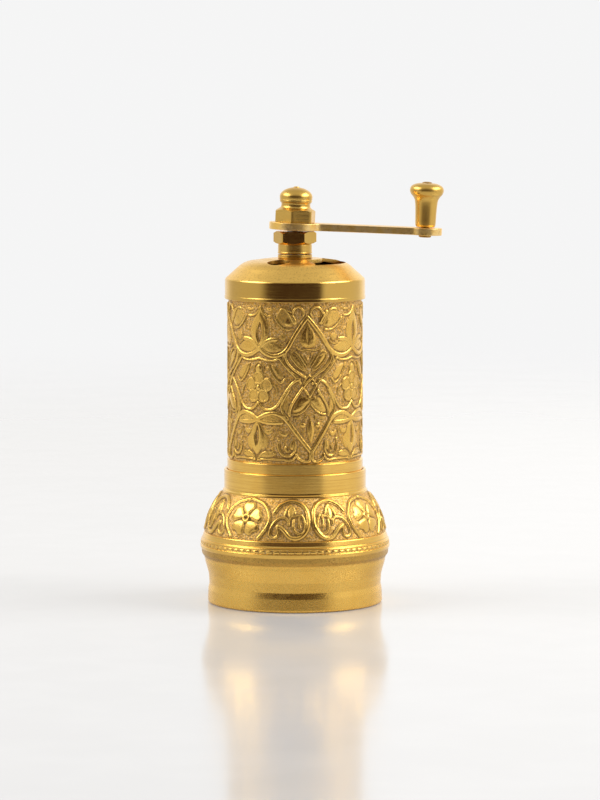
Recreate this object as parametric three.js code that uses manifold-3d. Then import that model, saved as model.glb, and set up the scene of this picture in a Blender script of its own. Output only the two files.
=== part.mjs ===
// A hand-cranked brass coffee mill: a tubular body with a domed cap and a crank on top,
// plugged into a bell-shaped cup that catches the ground coffee.
// Millimetres, +Z up, origin on the mill's axis at the surface it stands on, crank arm along +X.
import * as THREE from "three";
import { mergeVertices } from "three/addons/utils/BufferGeometryUtils.js";
import Module from "manifold-3d";

const wasm = await Module();
wasm.setup();

// Driving dimensions.
const ROUND = 40; // facets around a large turned part
const SMALL_ROUND = 20; // facets around a small turned part
const BODY_R = 17.65;
const BODY_WALL = 2.25;
const BODY_BOTTOM = 30.3;
const BODY_TOP = 83;
const ORNAMENT_BOTTOM = 37.5;
const ORNAMENT_TOP = 78.9;
const COLLAR_R = 18.45;
const COLLAR_TOP = 34.9;
const FOOT_R = 22.8;
const FLOOR_THICKNESS = 1.2;
const CAP_R = 18.25;
const CAP_BOTTOM = 79.1;
const CAP_SHOULDER = 83.7;
const CAP_TOP = 89.5;
const CAP_WALL = 1;
const NECK_R = 3.9; // bush neck that the cap turns on
const SHAFT_R = 2.5;
const THREAD_R = 2;
const SHAFT_COLLAR_R = 4.45;
const ARM_Z = 98; // height on the axis that the crank's pieces are drawn from
const ARM_TOP = 0.75; // the arm's two faces, measured from there
const ARM_BOTTOM = -1.1;
const ARM_REACH = 33.7;
const ARM_DROOP = THREE.MathUtils.degToRad(2.35);
const BURR_TOP = 50;
const BURR_BOTTOM = 35.45;
const BURR_THROAT = 41;
const BRIDGE_SCREWS = 3;
const BRIDGE_SCREW_RADIUS = 13.2; // distance of each bridge screw from the axis

// Materials: colour, roughness and metalness of each kind of metal.
const metal = (color, roughness) => new THREE.MeshStandardMaterial({ color, roughness, metalness: 1 });
const CAST_BRASS = metal(0xc9a048, 0.42);
const TURNED_BRASS = metal(0xd8b050, 0.3);
const POLISHED_BRASS = metal(0xe0b64e, 0.18);
const STEEL = metal(0x9a9a98, 0.35);
const BURR_STEEL = metal(0x5f5f60, 0.5);
const SPRING_STEEL = metal(0x7d7f82, 0.3);

// Geometry helpers.

// One closed body with shared vertices and no zero-area faces, which is what cutting needs.
function welded(geometry) {
  geometry.deleteAttribute("normal");
  geometry.deleteAttribute("uv");
  const merged = mergeVertices(geometry, 1e-3);
  const kept = [];
  const corners = merged.index.array;
  for (let i = 0; i < corners.length; i += 3) {
    const [a, b, c] = [corners[i], corners[i + 1], corners[i + 2]];
    if (a !== b && b !== c && c !== a) kept.push(a, b, c);
  }
  merged.setIndex(kept);
  return merged;
}

// Turns a profile of [radius, z] points around Z. The profile runs with the metal on its left.
function turned(profile, facets = ROUND) {
  const points = profile.map(([r, z]) => new THREE.Vector2(r, z));
  const onAxis = profile[0][0] === 0 && profile.at(-1)[0] === 0;
  if (!onAxis) points.push(points[0].clone());
  return welded(new THREE.LatheGeometry(points, facets).rotateX(Math.PI / 2));
}

// An outline in the XY plane made a plate between two heights.
function plate(shape, bottom, top, arcSteps = 12) {
  const settings = { depth: top - bottom, bevelEnabled: false, curveSegments: arcSteps };
  return welded(new THREE.ExtrudeGeometry(shape, settings).translate(0, 0, bottom));
}

function regularPolygon(corners, radius, turn) {
  const shape = new THREE.Shape();
  for (let i = 0; i < corners; i += 1) {
    const angle = turn + (i / corners) * 2 * Math.PI;
    if (i === 0) shape.moveTo(radius * Math.cos(angle), radius * Math.sin(angle));
    else shape.lineTo(radius * Math.cos(angle), radius * Math.sin(angle));
  }
  shape.closePath();
  return shape;
}

function circle(x, y, radius) {
  const path = new THREE.Path();
  path.absarc(x, y, radius, 0, 2 * Math.PI, false);
  return path;
}

function solid(geometry) {
  return new wasm.Manifold(
    new wasm.Mesh({
      numProp: 3,
      vertProperties: new Float32Array(geometry.attributes.position.array),
      triVerts: new Uint32Array(geometry.index.array),
    }),
  );
}

function geometryOf(manifold) {
  const { vertProperties, triVerts } = manifold.getMesh();
  const geometry = new THREE.BufferGeometry();
  geometry.setAttribute("position", new THREE.BufferAttribute(vertProperties, 3));
  geometry.setIndex(new THREE.BufferAttribute(triVerts, 1));
  return geometry;
}

const cut = (geometry, ...tools) =>
  geometryOf(tools.reduce((left, tool) => left.subtract(solid(tool)), solid(geometry)));
const joined = (geometry, ...others) =>
  geometryOf(others.reduce((sum, other) => sum.add(solid(other)), solid(geometry)));
const common = (geometry, other) => geometryOf(solid(geometry).intersect(solid(other)));

// A ring of metal between stacked outlines. Each outline gives a height and a radius for every
// angle, and the stack closes on itself: up the outside, then down the inside.
function ringed(outlines, facets) {
  const positions = [];
  const index = [];
  for (const { z, radius } of outlines) {
    for (let i = 0; i < facets; i += 1) {
      const angle = (i / facets) * 2 * Math.PI;
      positions.push(radius(angle) * Math.cos(angle), radius(angle) * Math.sin(angle), z);
    }
  }
  for (let level = 0; level < outlines.length; level += 1) {
    const lower = level * facets;
    const upper = ((level + 1) % outlines.length) * facets;
    for (let i = 0; i < facets; i += 1) {
      const next = (i + 1) % facets;
      index.push(lower + i, lower + next, upper + next);
      index.push(lower + i, upper + next, upper + i);
    }
  }
  const geometry = new THREE.BufferGeometry();
  geometry.setAttribute("position", new THREE.BufferAttribute(new Float32Array(positions), 3));
  geometry.setIndex(index);
  return geometry;
}

function named(name, geometry, material) {
  const mesh = new THREE.Mesh(geometry, material);
  mesh.name = name;
  return mesh;
}

// The cup: bell-shaped casting with a smooth collar, a ring moulding and a foot.

const LEDGE_Z = BODY_BOTTOM; // ledge inside the collar that the mill's body stands on
const SOCKET_R = BODY_R + 0.1;

function baseCup() {
  return turned([
    [21.4, 0],
    [FOOT_R - 0.5, 0],
    [FOOT_R, 0.6],
    [22.6, 3.6],
    [22.35, 5],
    [22.5, 7.5],
    [23.1, 9.6],
    [23.4, 10.7],
    [23.5, 11.5],
    [23.8, 12.2],
    [24.3, 13],
    [24.4, 14],
    [24.6, 14.6],
    [24.7, 15.4],
    [24.5, 16.4],
    [23.95, 17.3],
    [23.2, 21.2],
    [22.6, 23.3],
    [21.7, 25.3],
    [20.4, 27.2],
    [19.1, 28.8],
    [COLLAR_R, 30.3],
    [COLLAR_R, COLLAR_TOP - 0.2],
    [COLLAR_R - 0.2, COLLAR_TOP],
    [SOCKET_R, COLLAR_TOP],
    [SOCKET_R, LEDGE_Z],
    [16.4, LEDGE_Z],
    [16.4, 28.6],
    [18.6, 26.6],
    [20.6, 23.4],
    [21.8, 16],
    [20.2, 6],
    [20.2, FLOOR_THICKNESS],
    [21.4, FLOOR_THICKNESS],
  ]);
}

function baseFloorPlate() {
  return turned([
    [0, 0],
    [21.2, 0],
    [21.2, FLOOR_THICKNESS - 0.02],
    [0, FLOOR_THICKNESS - 0.02],
  ]);
}

// The body: a cast tube with a plain ring below and a spigot inside the cap.

const BODY_BORE = BODY_R - BODY_WALL;
const SEAT_R = 16.35; // recess in the body's mouth for the top plate
const PLATE_BOTTOM = BODY_TOP - 1.2;

function bodyShell() {
  return turned([
    [BODY_BORE, BODY_BOTTOM],
    [BODY_R - 0.3, BODY_BOTTOM],
    [BODY_R, BODY_BOTTOM + 0.3],
    [BODY_R, ORNAMENT_BOTTOM - 0.2],
    [BODY_R - 0.2, ORNAMENT_BOTTOM],
    [BODY_R - 0.2, ORNAMENT_TOP - 0.2],
    [BODY_R - 0.4, ORNAMENT_TOP],
    [17.15, ORNAMENT_TOP + 0.1],
    [17.15, BODY_TOP - 0.3],
    [16.85, BODY_TOP],
    [SEAT_R, BODY_TOP],
    [SEAT_R, PLATE_BOTTOM],
    [BODY_BORE - 0.8, PLATE_BOTTOM],
    [BODY_BORE - 0.8, BURR_TOP + 0.05],
    [BODY_BORE, BURR_TOP + 0.05],
  ]);
}

// The two openings that beans are poured through, cut alike in the cap and the top plate.

const OPENING_INNER_R = 7.1;
const OPENING_OUTER_R = 13.1;
const LONG_OPENING = [-66, 26].map(THREE.MathUtils.degToRad);
const ROUND_OPENING_ANGLE = THREE.MathUtils.degToRad(-114);

function longOpening(Kind) {
  const path = new Kind();
  const [start, end] = LONG_OPENING;
  path.absarc(0, 0, OPENING_OUTER_R, start, end, false);
  path.absarc(0, 0, OPENING_INNER_R, end, start, true);
  path.closePath();
  return path;
}

function roundOpening(Kind) {
  const radius = (OPENING_OUTER_R - OPENING_INNER_R) / 2;
  const middle = OPENING_INNER_R + radius;
  const path = new Kind();
  const x = middle * Math.cos(ROUND_OPENING_ANGLE);
  const y = middle * Math.sin(ROUND_OPENING_ANGLE);
  path.absarc(x, y, radius, 0, 2 * Math.PI, false);
  return path;
}

const BUSH_STEM_R = 3.25;

function topPlate() {
  const disc = new THREE.Shape();
  disc.absarc(0, 0, SEAT_R - 0.1, 0, 2 * Math.PI, false);
  disc.holes.push(longOpening(THREE.Path), roundOpening(THREE.Path));
  disc.holes.push(circle(0, 0, BUSH_STEM_R + 0.05));
  return plate(disc, PLATE_BOTTOM, BODY_TOP - 0.02, 16);
}

// The bush that carries the shaft stands on the top plate and is clamped by a nut below it.

const BUSH_BOTTOM = 78.5;
const BUSH_TOP = 90.5;
const BUSH_FLANGE_R = 5.2;
const SHAFT_CLEARANCE = 0.06;

function upperBush() {
  return turned(
    [
      [SHAFT_R + SHAFT_CLEARANCE, BUSH_BOTTOM],
      [BUSH_STEM_R, BUSH_BOTTOM],
      [BUSH_STEM_R, BODY_TOP],
      [BUSH_FLANGE_R, BODY_TOP],
      [BUSH_FLANGE_R, BODY_TOP + 1.6],
      [NECK_R, BODY_TOP + 2],
      [NECK_R, CAP_TOP + 0.05],
      [BUSH_STEM_R, CAP_TOP + 0.05],
      [BUSH_STEM_R, BUSH_TOP],
      [SHAFT_R + SHAFT_CLEARANCE, BUSH_TOP],
    ],
    SMALL_ROUND,
  );
}

function bushNut() {
  const hex = regularPolygon(6, 5.6, 0);
  hex.holes.push(circle(0, 0, BUSH_STEM_R + 0.05));
  return plate(hex, PLATE_BOTTOM - 1.8, PLATE_BOTTOM - 0.02);
}

function capRetainingRing() {
  return turned(
    [
      [BUSH_STEM_R + 0.05, CAP_TOP + 0.1],
      [SHAFT_COLLAR_R, CAP_TOP + 0.1],
      [SHAFT_COLLAR_R, BUSH_TOP - 0.15],
      [SHAFT_COLLAR_R - 0.15, BUSH_TOP],
      [BUSH_STEM_R + 0.05, BUSH_TOP],
    ],
    SMALL_ROUND,
  );
}

// The domed cap turns on the bush's neck, so that its openings uncover those of the top plate.

function domeCap() {
  const inside = CAP_R - 0.95;
  const shell = turned([
    [CAP_R, CAP_BOTTOM],
    [CAP_R, CAP_SHOULDER],
    [18, 84.4],
    [17.35, 85.2],
    [15.8, 86.65],
    [13.9, 88.1],
    [12.6, 88.75],
    [11, 89.2],
    [9, CAP_TOP],
    [NECK_R + 0.1, CAP_TOP],
    [NECK_R + 0.1, CAP_TOP - CAP_WALL],
    [8, CAP_TOP - CAP_WALL],
    [10.2, 88.15],
    [12.8, 87.2],
    [14.8, 86.1],
    [15.8, 85.1],
    [15.8, BODY_TOP + 0.05],
    [inside, BODY_TOP + 0.05],
    [inside, CAP_BOTTOM],
  ]);
  const above = CAP_TOP + 5;
  const below = BODY_TOP + 1;
  const slots = [longOpening(THREE.Shape), roundOpening(THREE.Shape)];
  return cut(shell, ...slots.map((slot) => plate(slot, below, above, 16)));
}

// The grinding set: a toothed ring in the body and a toothed cone on the shaft.

const RING_R = BODY_BORE - 0.1;
const CONE_TOP = 50.4;
const CONE_BOTTOM = 35.2;
const GRIND_GAP = 0.4;
const FLARE = 0.35; // radius gained per millimetre going down through the fine teeth
const CONE_THROAT_R = 9.4;
const CONE_TEETH = 18;
const RING_TEETH = 24;
const BURR_FACETS = 72;
const SQUARE_HALF = 1.72; // half the side of the shaft's square

const constant = (radius) => () => radius;
const toothed = (crest, depth, teeth, turn) => (angle) => {
  const phase = (((angle + turn) / (2 * Math.PI)) * teeth) % 1;
  return crest - depth * Math.abs(2 * Math.abs(phase) - 1);
};

function ringBurr() {
  const throat = CONE_THROAT_R + GRIND_GAP;
  const mouth = throat + FLARE * (BURR_THROAT - BURR_BOTTOM);
  const inward = (crest, depth, turn) => {
    const tooth = toothed(0, depth, RING_TEETH, turn);
    return (angle) => crest - tooth(angle);
  };
  const ring = ringed(
    [
      { z: BURR_BOTTOM, radius: constant(RING_R) },
      { z: BURR_TOP, radius: constant(RING_R) },
      { z: BURR_TOP, radius: inward(13.4, 0.8, 0.3) },
      { z: 46, radius: inward(12, 1.1, 0.2) },
      { z: BURR_THROAT, radius: inward(throat, 0.7, 0.05) },
      { z: BURR_BOTTOM, radius: inward(mouth, 0.4, 0) },
    ],
    BURR_FACETS,
  );
  const holes = bridgeScrewPlaces().map(([x, y]) => screwHole(x, y, BURR_BOTTOM - 1, 40));
  return cut(ring, ...holes);
}

function coneBurr() {
  const mouth = CONE_THROAT_R + FLARE * (BURR_THROAT - CONE_BOTTOM);
  const square = (angle) => {
    const reach = Math.max(Math.abs(Math.cos(angle)), Math.abs(Math.sin(angle)));
    return (SQUARE_HALF + 0.06) / reach;
  };
  return ringed(
    [
      { z: CONE_BOTTOM, radius: toothed(mouth, 0.5, CONE_TEETH, 0) },
      { z: BURR_THROAT, radius: toothed(CONE_THROAT_R, 0.7, CONE_TEETH, 0.1) },
      { z: 44, radius: toothed(7.8, 1.5, CONE_TEETH / 3, 0.25) },
      { z: 47.5, radius: toothed(6.4, 1.6, CONE_TEETH / 3, 0.5) },
      { z: CONE_TOP, radius: toothed(5, 1.3, CONE_TEETH / 3, 0.75) },
      { z: CONE_TOP, radius: square },
      { z: CONE_BOTTOM, radius: square },
    ],
    BURR_FACETS,
  );
}

// The bridge carries the adjusting screw under the shaft and is screwed up into the ring burr.

const BRIDGE_BOTTOM = 29.6;
const BRIDGE_ARM_TOP = 31.6;
const BRIDGE_TOP = BURR_BOTTOM - 0.05;
const BOSS_R = 4.6;
const BOSS_BOTTOM = 25.4;
const ADJUSTER_R = 2.4;
const SCREW_SHANK_R = 0.9;
const SCREW_HEAD_R = 1.7;

function bridgeScrewPlaces() {
  return Array.from({ length: BRIDGE_SCREWS }, (_, i) => {
    const angle = Math.PI / 2 + (i / BRIDGE_SCREWS) * 2 * Math.PI;
    return [BRIDGE_SCREW_RADIUS * Math.cos(angle), BRIDGE_SCREW_RADIUS * Math.sin(angle)];
  });
}

function screwHole(x, y, bottom, top) {
  const hole = new THREE.Shape();
  hole.absarc(x, y, SCREW_SHANK_R + 0.08, 0, 2 * Math.PI, false);
  return plate(hole, bottom, top, 8);
}

function lowerBridge() {
  const rim = turned([
    [12.4, BRIDGE_BOTTOM],
    [RING_R, BRIDGE_BOTTOM],
    [RING_R, BRIDGE_TOP],
    [12.4, BRIDGE_TOP],
  ]);
  const boss = turned(
    [
      [0, BOSS_BOTTOM],
      [BOSS_R, BOSS_BOTTOM],
      [BOSS_R, BRIDGE_ARM_TOP],
      [0, BRIDGE_ARM_TOP],
    ],
    SMALL_ROUND,
  );
  const arms = bridgeScrewPlaces().map(([x, y]) => {
    const arm = new THREE.BoxGeometry(13, 4.4, BRIDGE_ARM_TOP - BRIDGE_BOTTOM);
    arm.translate(8, 0, (BRIDGE_ARM_TOP + BRIDGE_BOTTOM) / 2);
    return welded(arm.rotateZ(Math.atan2(y, x)));
  });
  const bore = new THREE.Shape();
  bore.absarc(0, 0, ADJUSTER_R + 0.1, 0, 2 * Math.PI, false);
  const tools = bridgeScrewPlaces().map(([x, y]) => screwHole(x, y, BRIDGE_BOTTOM - 1, BRIDGE_TOP + 1));
  const screwBore = plate(bore, BOSS_BOTTOM - 1, BRIDGE_ARM_TOP + 1, 10);
  return cut(joined(rim, boss, ...arms), screwBore, ...tools);
}

function bridgeScrew([x, y]) {
  const screw = turned(
    [
      [0, BRIDGE_BOTTOM - 1.3],
      [SCREW_HEAD_R - 0.3, BRIDGE_BOTTOM - 1.3],
      [SCREW_HEAD_R, BRIDGE_BOTTOM - 0.9],
      [SCREW_HEAD_R, BRIDGE_BOTTOM - 0.05],
      [SCREW_SHANK_R, BRIDGE_BOTTOM - 0.05],
      [SCREW_SHANK_R, 39.4],
      [0, 39.8],
    ],
    16,
  );
  const slot = new THREE.BoxGeometry(2 * SCREW_HEAD_R + 1, 0.45, 0.6).translate(0, 0, BRIDGE_BOTTOM - 1.3);
  return cut(screw, welded(slot)).translate(x, y, 0);
}

// The adjusting screw lifts a steel ball, and the ball lifts the shaft and the cone on it.

const BALL_R = 1.5;
const SHAFT_FOOT = 31.9;
const BALL_Z = SHAFT_FOOT - BALL_R;

function thrustBall() {
  const ball = new THREE.SphereGeometry(BALL_R - 0.02, 16, 12).rotateX(Math.PI / 2);
  return welded(ball.translate(0, 0, BALL_Z));
}

function adjustingScrew() {
  const headTop = BOSS_BOTTOM - 0.8;
  const headBottom = headTop - 4;
  const lobes = 20;
  const stem = turned(
    [
      [0, headBottom],
      [4.6, headBottom],
      [4.6, headTop],
      [ADJUSTER_R, headTop],
      [ADJUSTER_R, BALL_Z - 0.95],
      [1.2, BALL_Z - 0.95],
      [0.7, BALL_Z - 1.45],
      [0, BALL_Z - 1.6],
    ],
    SMALL_ROUND,
  );
  const lobe = toothed(6, 0.45, lobes, 0);
  const grip = ringed(
    [
      { z: headBottom, radius: (angle) => lobe(angle) - 0.4 },
      { z: headBottom + 0.4, radius: lobe },
      { z: headTop - 0.4, radius: lobe },
      { z: headTop, radius: (angle) => lobe(angle) - 0.4 },
      { z: headTop, radius: constant(4) },
      { z: headBottom, radius: constant(4) },
    ],
    2 * lobes,
  );
  return joined(stem, grip);
}

// The shaft: square through the cone, round through the bush, threaded at both ends.

const CLIP_BOTTOM = 63.2;
const CLIP_TOP = 63.9;
const GROOVE_R = 2.05;
const FOOT_THREAD_R = 1.5;
const SHAFT_SHOULDER = BUSH_TOP + 0.2;

function shaft() {
  const rod = turned(
    [
      [0, SHAFT_FOOT + 0.02],
      [FOOT_THREAD_R, SHAFT_FOOT + 0.02],
      [FOOT_THREAD_R, 36],
      [SQUARE_HALF, 36],
      [SQUARE_HALF, CONE_TOP + 0.05],
      [SHAFT_R, CONE_TOP + 0.05],
      [SHAFT_R, CLIP_BOTTOM - 0.05],
      [GROOVE_R, CLIP_BOTTOM - 0.05],
      [GROOVE_R, CLIP_TOP + 0.05],
      [SHAFT_R, CLIP_TOP + 0.05],
      [SHAFT_R, SHAFT_SHOULDER],
      [THREAD_R, SHAFT_SHOULDER],
      [THREAD_R, 102.6],
      [THREAD_R - 0.4, 103],
      [0, 103],
    ],
    SMALL_ROUND,
  );
  const length = CONE_TOP + 0.5 - CONE_BOTTOM;
  const square = new THREE.BoxGeometry(2 * SQUARE_HALF, 2 * SQUARE_HALF, length);
  return joined(rod, welded(square.translate(0, 0, CONE_BOTTOM + length / 2)));
}

function coneNut() {
  const hex = regularPolygon(6, 3.4, 0);
  hex.holes.push(circle(0, 0, FOOT_THREAD_R + 0.08));
  return plate(hex, CONE_BOTTOM - 2.3, CONE_BOTTOM - 0.05);
}

// A snap ring open over its last quarter, so that it springs over the shaft.
function shaftClip() {
  const shape = new THREE.Shape();
  const open = THREE.MathUtils.degToRad(40);
  shape.absarc(0, 0, 3.7, open, 2 * Math.PI - open, false);
  shape.absarc(0, 0, GROOVE_R + 0.08, 2 * Math.PI - open, open, true);
  shape.closePath();
  return plate(shape, CLIP_BOTTOM, CLIP_TOP);
}

const WASHER_TOP = CLIP_TOP + 0.9;

function springWasher() {
  const bore = SHAFT_R + SHAFT_CLEARANCE;
  return turned(
    [
      [bore, CLIP_TOP + 0.08],
      [4.6, CLIP_TOP + 0.08],
      [4.6, WASHER_TOP],
      [bore, WASHER_TOP],
    ],
    SMALL_ROUND,
  );
}

const SPRING_WIRE_R = 0.45;
const SPRING_COIL_R = 3.55;
const SPRING_TURNS = 5;

class Helix extends THREE.Curve {
  getPoint(t, target = new THREE.Vector3()) {
    const angle = 2 * Math.PI * SPRING_TURNS * t;
    const low = WASHER_TOP + SPRING_WIRE_R + 0.1;
    const high = BUSH_BOTTOM - SPRING_WIRE_R - 0.1;
    const x = SPRING_COIL_R * Math.cos(angle);
    const y = SPRING_COIL_R * Math.sin(angle);
    return target.set(x, y, low + (high - low) * t);
  }
}

function pressureSpring() {
  const section = regularPolygon(6, SPRING_WIRE_R, 0);
  const settings = { steps: 12 * SPRING_TURNS, extrudePath: new Helix(), bevelEnabled: false };
  return welded(new THREE.ExtrudeGeometry(section, settings));
}

const NUT_BOTTOM = 93.35;
const NUT_TOP = 96.5;

function shaftCollar() {
  const bore = THREAD_R + 0.06;
  return turned(
    [
      [bore, SHAFT_SHOULDER + 0.03],
      [SHAFT_COLLAR_R - 0.12, SHAFT_SHOULDER + 0.03],
      [SHAFT_COLLAR_R, SHAFT_SHOULDER + 0.15],
      [SHAFT_COLLAR_R, NUT_BOTTOM - 0.15],
      [SHAFT_COLLAR_R - 0.12, NUT_BOTTOM - 0.03],
      [bore, NUT_BOTTOM - 0.03],
    ],
    SMALL_ROUND,
  );
}

// A hexagon with its corners chamfered at one or both ends by a turned outline.
function chamferedHex(radius, turn, bottom, top, chamferBottom) {
  const across = radius * Math.cos(Math.PI / 6);
  const drop = (radius - across) * 0.75;
  const profile = [
    [0, bottom],
    [chamferBottom ? across : radius, bottom],
    [radius, bottom + (chamferBottom ? drop : 0.01)],
    [radius, top - drop],
    [across, top],
    [0, top],
  ];
  return common(plate(regularPolygon(6, radius, turn), bottom, top), turned(profile, ROUND));
}

function jamNut() {
  const bore = new THREE.Shape();
  bore.absarc(0, 0, THREAD_R + 0.06, 0, 2 * Math.PI, false);
  const corner = THREE.MathUtils.degToRad(-5);
  const hex = chamferedHex(5.65, corner, NUT_BOTTOM, NUT_TOP, true);
  return cut(hex, plate(bore, NUT_BOTTOM - 1, NUT_TOP + 1, 8));
}

// The crank. These pieces are drawn level and droop together.

const HUB_R = 6.7;
const TIP_R = 4.4;
const STRIP_HALF = 3.1;
const PIN_R = 1.15;

function crankArm() {
  const shape = new THREE.Shape();
  const hubEdge = Math.asin(STRIP_HALF / HUB_R);
  const tipEdge = Math.PI - Math.asin(STRIP_HALF / TIP_R);
  shape.absarc(0, 0, HUB_R, hubEdge, 2 * Math.PI - hubEdge, false);
  shape.absarc(ARM_REACH, 0, TIP_R, -tipEdge, tipEdge, false);
  shape.closePath();
  shape.holes.push(circle(0, 0, THREAD_R + 0.3), circle(ARM_REACH, 0, PIN_R + 0.08));
  return plate(shape, ARM_BOTTOM, ARM_TOP, 20);
}

function capNut() {
  const bottom = ARM_TOP + 0.06;
  const hexTop = bottom + 3.3;
  const corner = THREE.MathUtils.degToRad(-101);
  const hex = chamferedHex(5.5, corner, bottom, hexTop, false);
  const ball = { z: 7.35, radius: 4.25, height: 2.5 };
  const profile = [
    [0, hexTop - 0.5],
    [4.5, hexTop - 0.5],
    [4.5, hexTop],
    [3.85, hexTop + 0.6],
    [3.73, 5.2],
    [3.75, 5.8],
    [4.12, 6.2],
  ];
  for (let angle = 0; angle <= 75; angle += 15) {
    const turn = THREE.MathUtils.degToRad(angle);
    profile.push([ball.radius * Math.cos(turn), ball.z + ball.height * Math.sin(turn)]);
  }
  profile.push([0, ball.z + ball.height + 0.1]);
  const bore = new THREE.Shape();
  bore.absarc(0, 0, THREAD_R + 0.45, 0, 2 * Math.PI, false);
  return cut(joined(hex, turned(profile, SMALL_ROUND)), plate(bore, bottom - 1, 6.4, 8));
}

const GRIP_BOTTOM = ARM_TOP + 0.2;
const GRIP_TOP = ARM_TOP + 11.6;

function grip() {
  return turned(
    [
      [PIN_R + 0.08, GRIP_BOTTOM],
      [2.4, GRIP_BOTTOM],
      [2.62, GRIP_BOTTOM + 0.25],
      [2.68, GRIP_BOTTOM + 2],
      [2.82, GRIP_BOTTOM + 5],
      [3.02, GRIP_TOP - 4.4],
      [3.4, GRIP_TOP - 3.6],
      [4.05, GRIP_TOP - 2.9],
      [4.4, GRIP_TOP - 1.9],
      [4.25, GRIP_TOP - 1.2],
      [3.7, GRIP_TOP - 0.6],
      [2.6, GRIP_TOP - 0.15],
      [PIN_R + 0.08, GRIP_TOP],
    ],
    SMALL_ROUND,
  );
}

function gripPin() {
  const head = ARM_BOTTOM - 0.65;
  const nub = 1.35;
  return turned(
    [
      [0, head],
      [1.5, head],
      [1.65, head + 0.2],
      [1.65, ARM_BOTTOM - 0.03],
      [PIN_R, ARM_BOTTOM - 0.03],
      [PIN_R, GRIP_TOP + 0.05],
      [nub, GRIP_TOP + 0.05],
      [nub * 0.7, GRIP_TOP + 0.25],
      [0, GRIP_TOP + 0.35],
    ],
    16,
  );
}

// Assembly.

const mill = new THREE.Group();
mill.add(
  named("base_cup", baseCup(), CAST_BRASS),
  named("base_floor_plate", baseFloorPlate(), TURNED_BRASS),
  named("body_shell", bodyShell(), CAST_BRASS),
  named("top_plate", topPlate(), TURNED_BRASS),
  named("upper_bush", upperBush(), TURNED_BRASS),
  named("bush_nut", bushNut(), TURNED_BRASS),
  named("cap_retaining_ring", capRetainingRing(), TURNED_BRASS),
  named("dome_cap", domeCap(), POLISHED_BRASS),
  named("ring_burr", ringBurr(), BURR_STEEL),
  named("lower_bridge", lowerBridge(), TURNED_BRASS),
  named("thrust_ball", thrustBall(), STEEL),
  named("adjusting_screw", adjustingScrew(), TURNED_BRASS),
  named("drive_shaft", shaft(), STEEL),
  named("cone_burr", coneBurr(), BURR_STEEL),
  named("cone_nut", coneNut(), STEEL),
  named("shaft_clip", shaftClip(), SPRING_STEEL),
  named("spring_washer", springWasher(), STEEL),
  named("pressure_spring", pressureSpring(), SPRING_STEEL),
  named("shaft_collar", shaftCollar(), TURNED_BRASS),
  named("jam_nut", jamNut(), TURNED_BRASS),
);
bridgeScrewPlaces().forEach((place, i) => {
  mill.add(named(`bridge_screw_${i + 1}`, bridgeScrew(place), STEEL));
});

const crank = new THREE.Group();
crank.position.z = ARM_Z;
crank.rotation.y = ARM_DROOP;
crank.add(named("crank_arm", crankArm(), TURNED_BRASS), named("cap_nut", capNut(), POLISHED_BRASS));

const tip = new THREE.Group();
tip.position.x = ARM_REACH;
tip.add(named("grip", grip(), POLISHED_BRASS), named("grip_pin", gripPin(), TURNED_BRASS));
crank.add(tip);
mill.add(crank);

export default mill;
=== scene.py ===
"""Brass hand coffee mill: the looks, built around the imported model. Metres in Blender; sizes below in mm."""
import math

import bpy
import numpy as np
from mathutils import Matrix, Vector


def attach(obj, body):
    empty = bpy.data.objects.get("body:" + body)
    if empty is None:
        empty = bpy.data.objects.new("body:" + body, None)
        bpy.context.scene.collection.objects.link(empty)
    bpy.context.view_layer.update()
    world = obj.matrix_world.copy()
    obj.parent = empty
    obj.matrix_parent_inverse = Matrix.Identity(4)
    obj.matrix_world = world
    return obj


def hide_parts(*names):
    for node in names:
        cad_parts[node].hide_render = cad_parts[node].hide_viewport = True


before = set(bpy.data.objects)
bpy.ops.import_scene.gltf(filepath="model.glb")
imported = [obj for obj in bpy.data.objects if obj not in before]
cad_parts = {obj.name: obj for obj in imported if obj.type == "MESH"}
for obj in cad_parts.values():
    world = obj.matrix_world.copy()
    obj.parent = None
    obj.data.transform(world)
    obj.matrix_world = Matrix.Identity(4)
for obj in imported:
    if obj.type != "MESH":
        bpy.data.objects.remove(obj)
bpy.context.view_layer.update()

MM = 0.001
LEVEL = 1e-9  # a climb smaller than this counts as none
SEED = 7
REPEATS = 4  # times that each pattern runs round the mill
QUARTER = math.pi / 2
EIGHTHS = np.arange(8) * math.pi / 4

# Driving sizes, in millimetres. They match the CAD model's.
BODY_R = 17.65
BODY_BORE = 15.4
BODY_BOTTOM = 30.3
BODY_TOP = 83.0
GROUND_R = 17.2  # ground between the raised lines of the body's pattern
PATTERN_LOW = 37.9
PATTERN_HIGH = 78.75
PATTERN_TURN = math.radians(12.3)  # from the front to the axis of a diamond, anticlockwise from above
COLLAR_R = 18.45
COLLAR_TOP = 34.9
BAND_TURN = math.radians(-34.3)  # from the front to the middle of a rosette on the cup
BAND_REFERENCE_R = 22.0
BAND_LOW = 18.6
BAND_HIGH = 29.0
CAP_R = 18.25
CAP_BOTTOM = 79.1
CAP_TOP = 89.5
ARM_Z = 98.0
ARM_TOP = 0.75  # the crank arm's faces, from the height that the crank is drawn at
ARM_BOTTOM = -1.1
ARM_REACH = 33.7
ARM_DROOP = math.radians(2.35)
SHAFT_HOLE_R = 2.25
PIN_HOLE_R = 1.25


# --- Outlines and meshes ---


def angles_round(count):
    """That many equal steps of angle round a full turn."""
    return np.arange(count) / count * 2 * math.pi


def circle(x, y, radius, angles):
    return [(x + radius * math.cos(a), y + radius * math.sin(a)) for a in angles]


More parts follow.
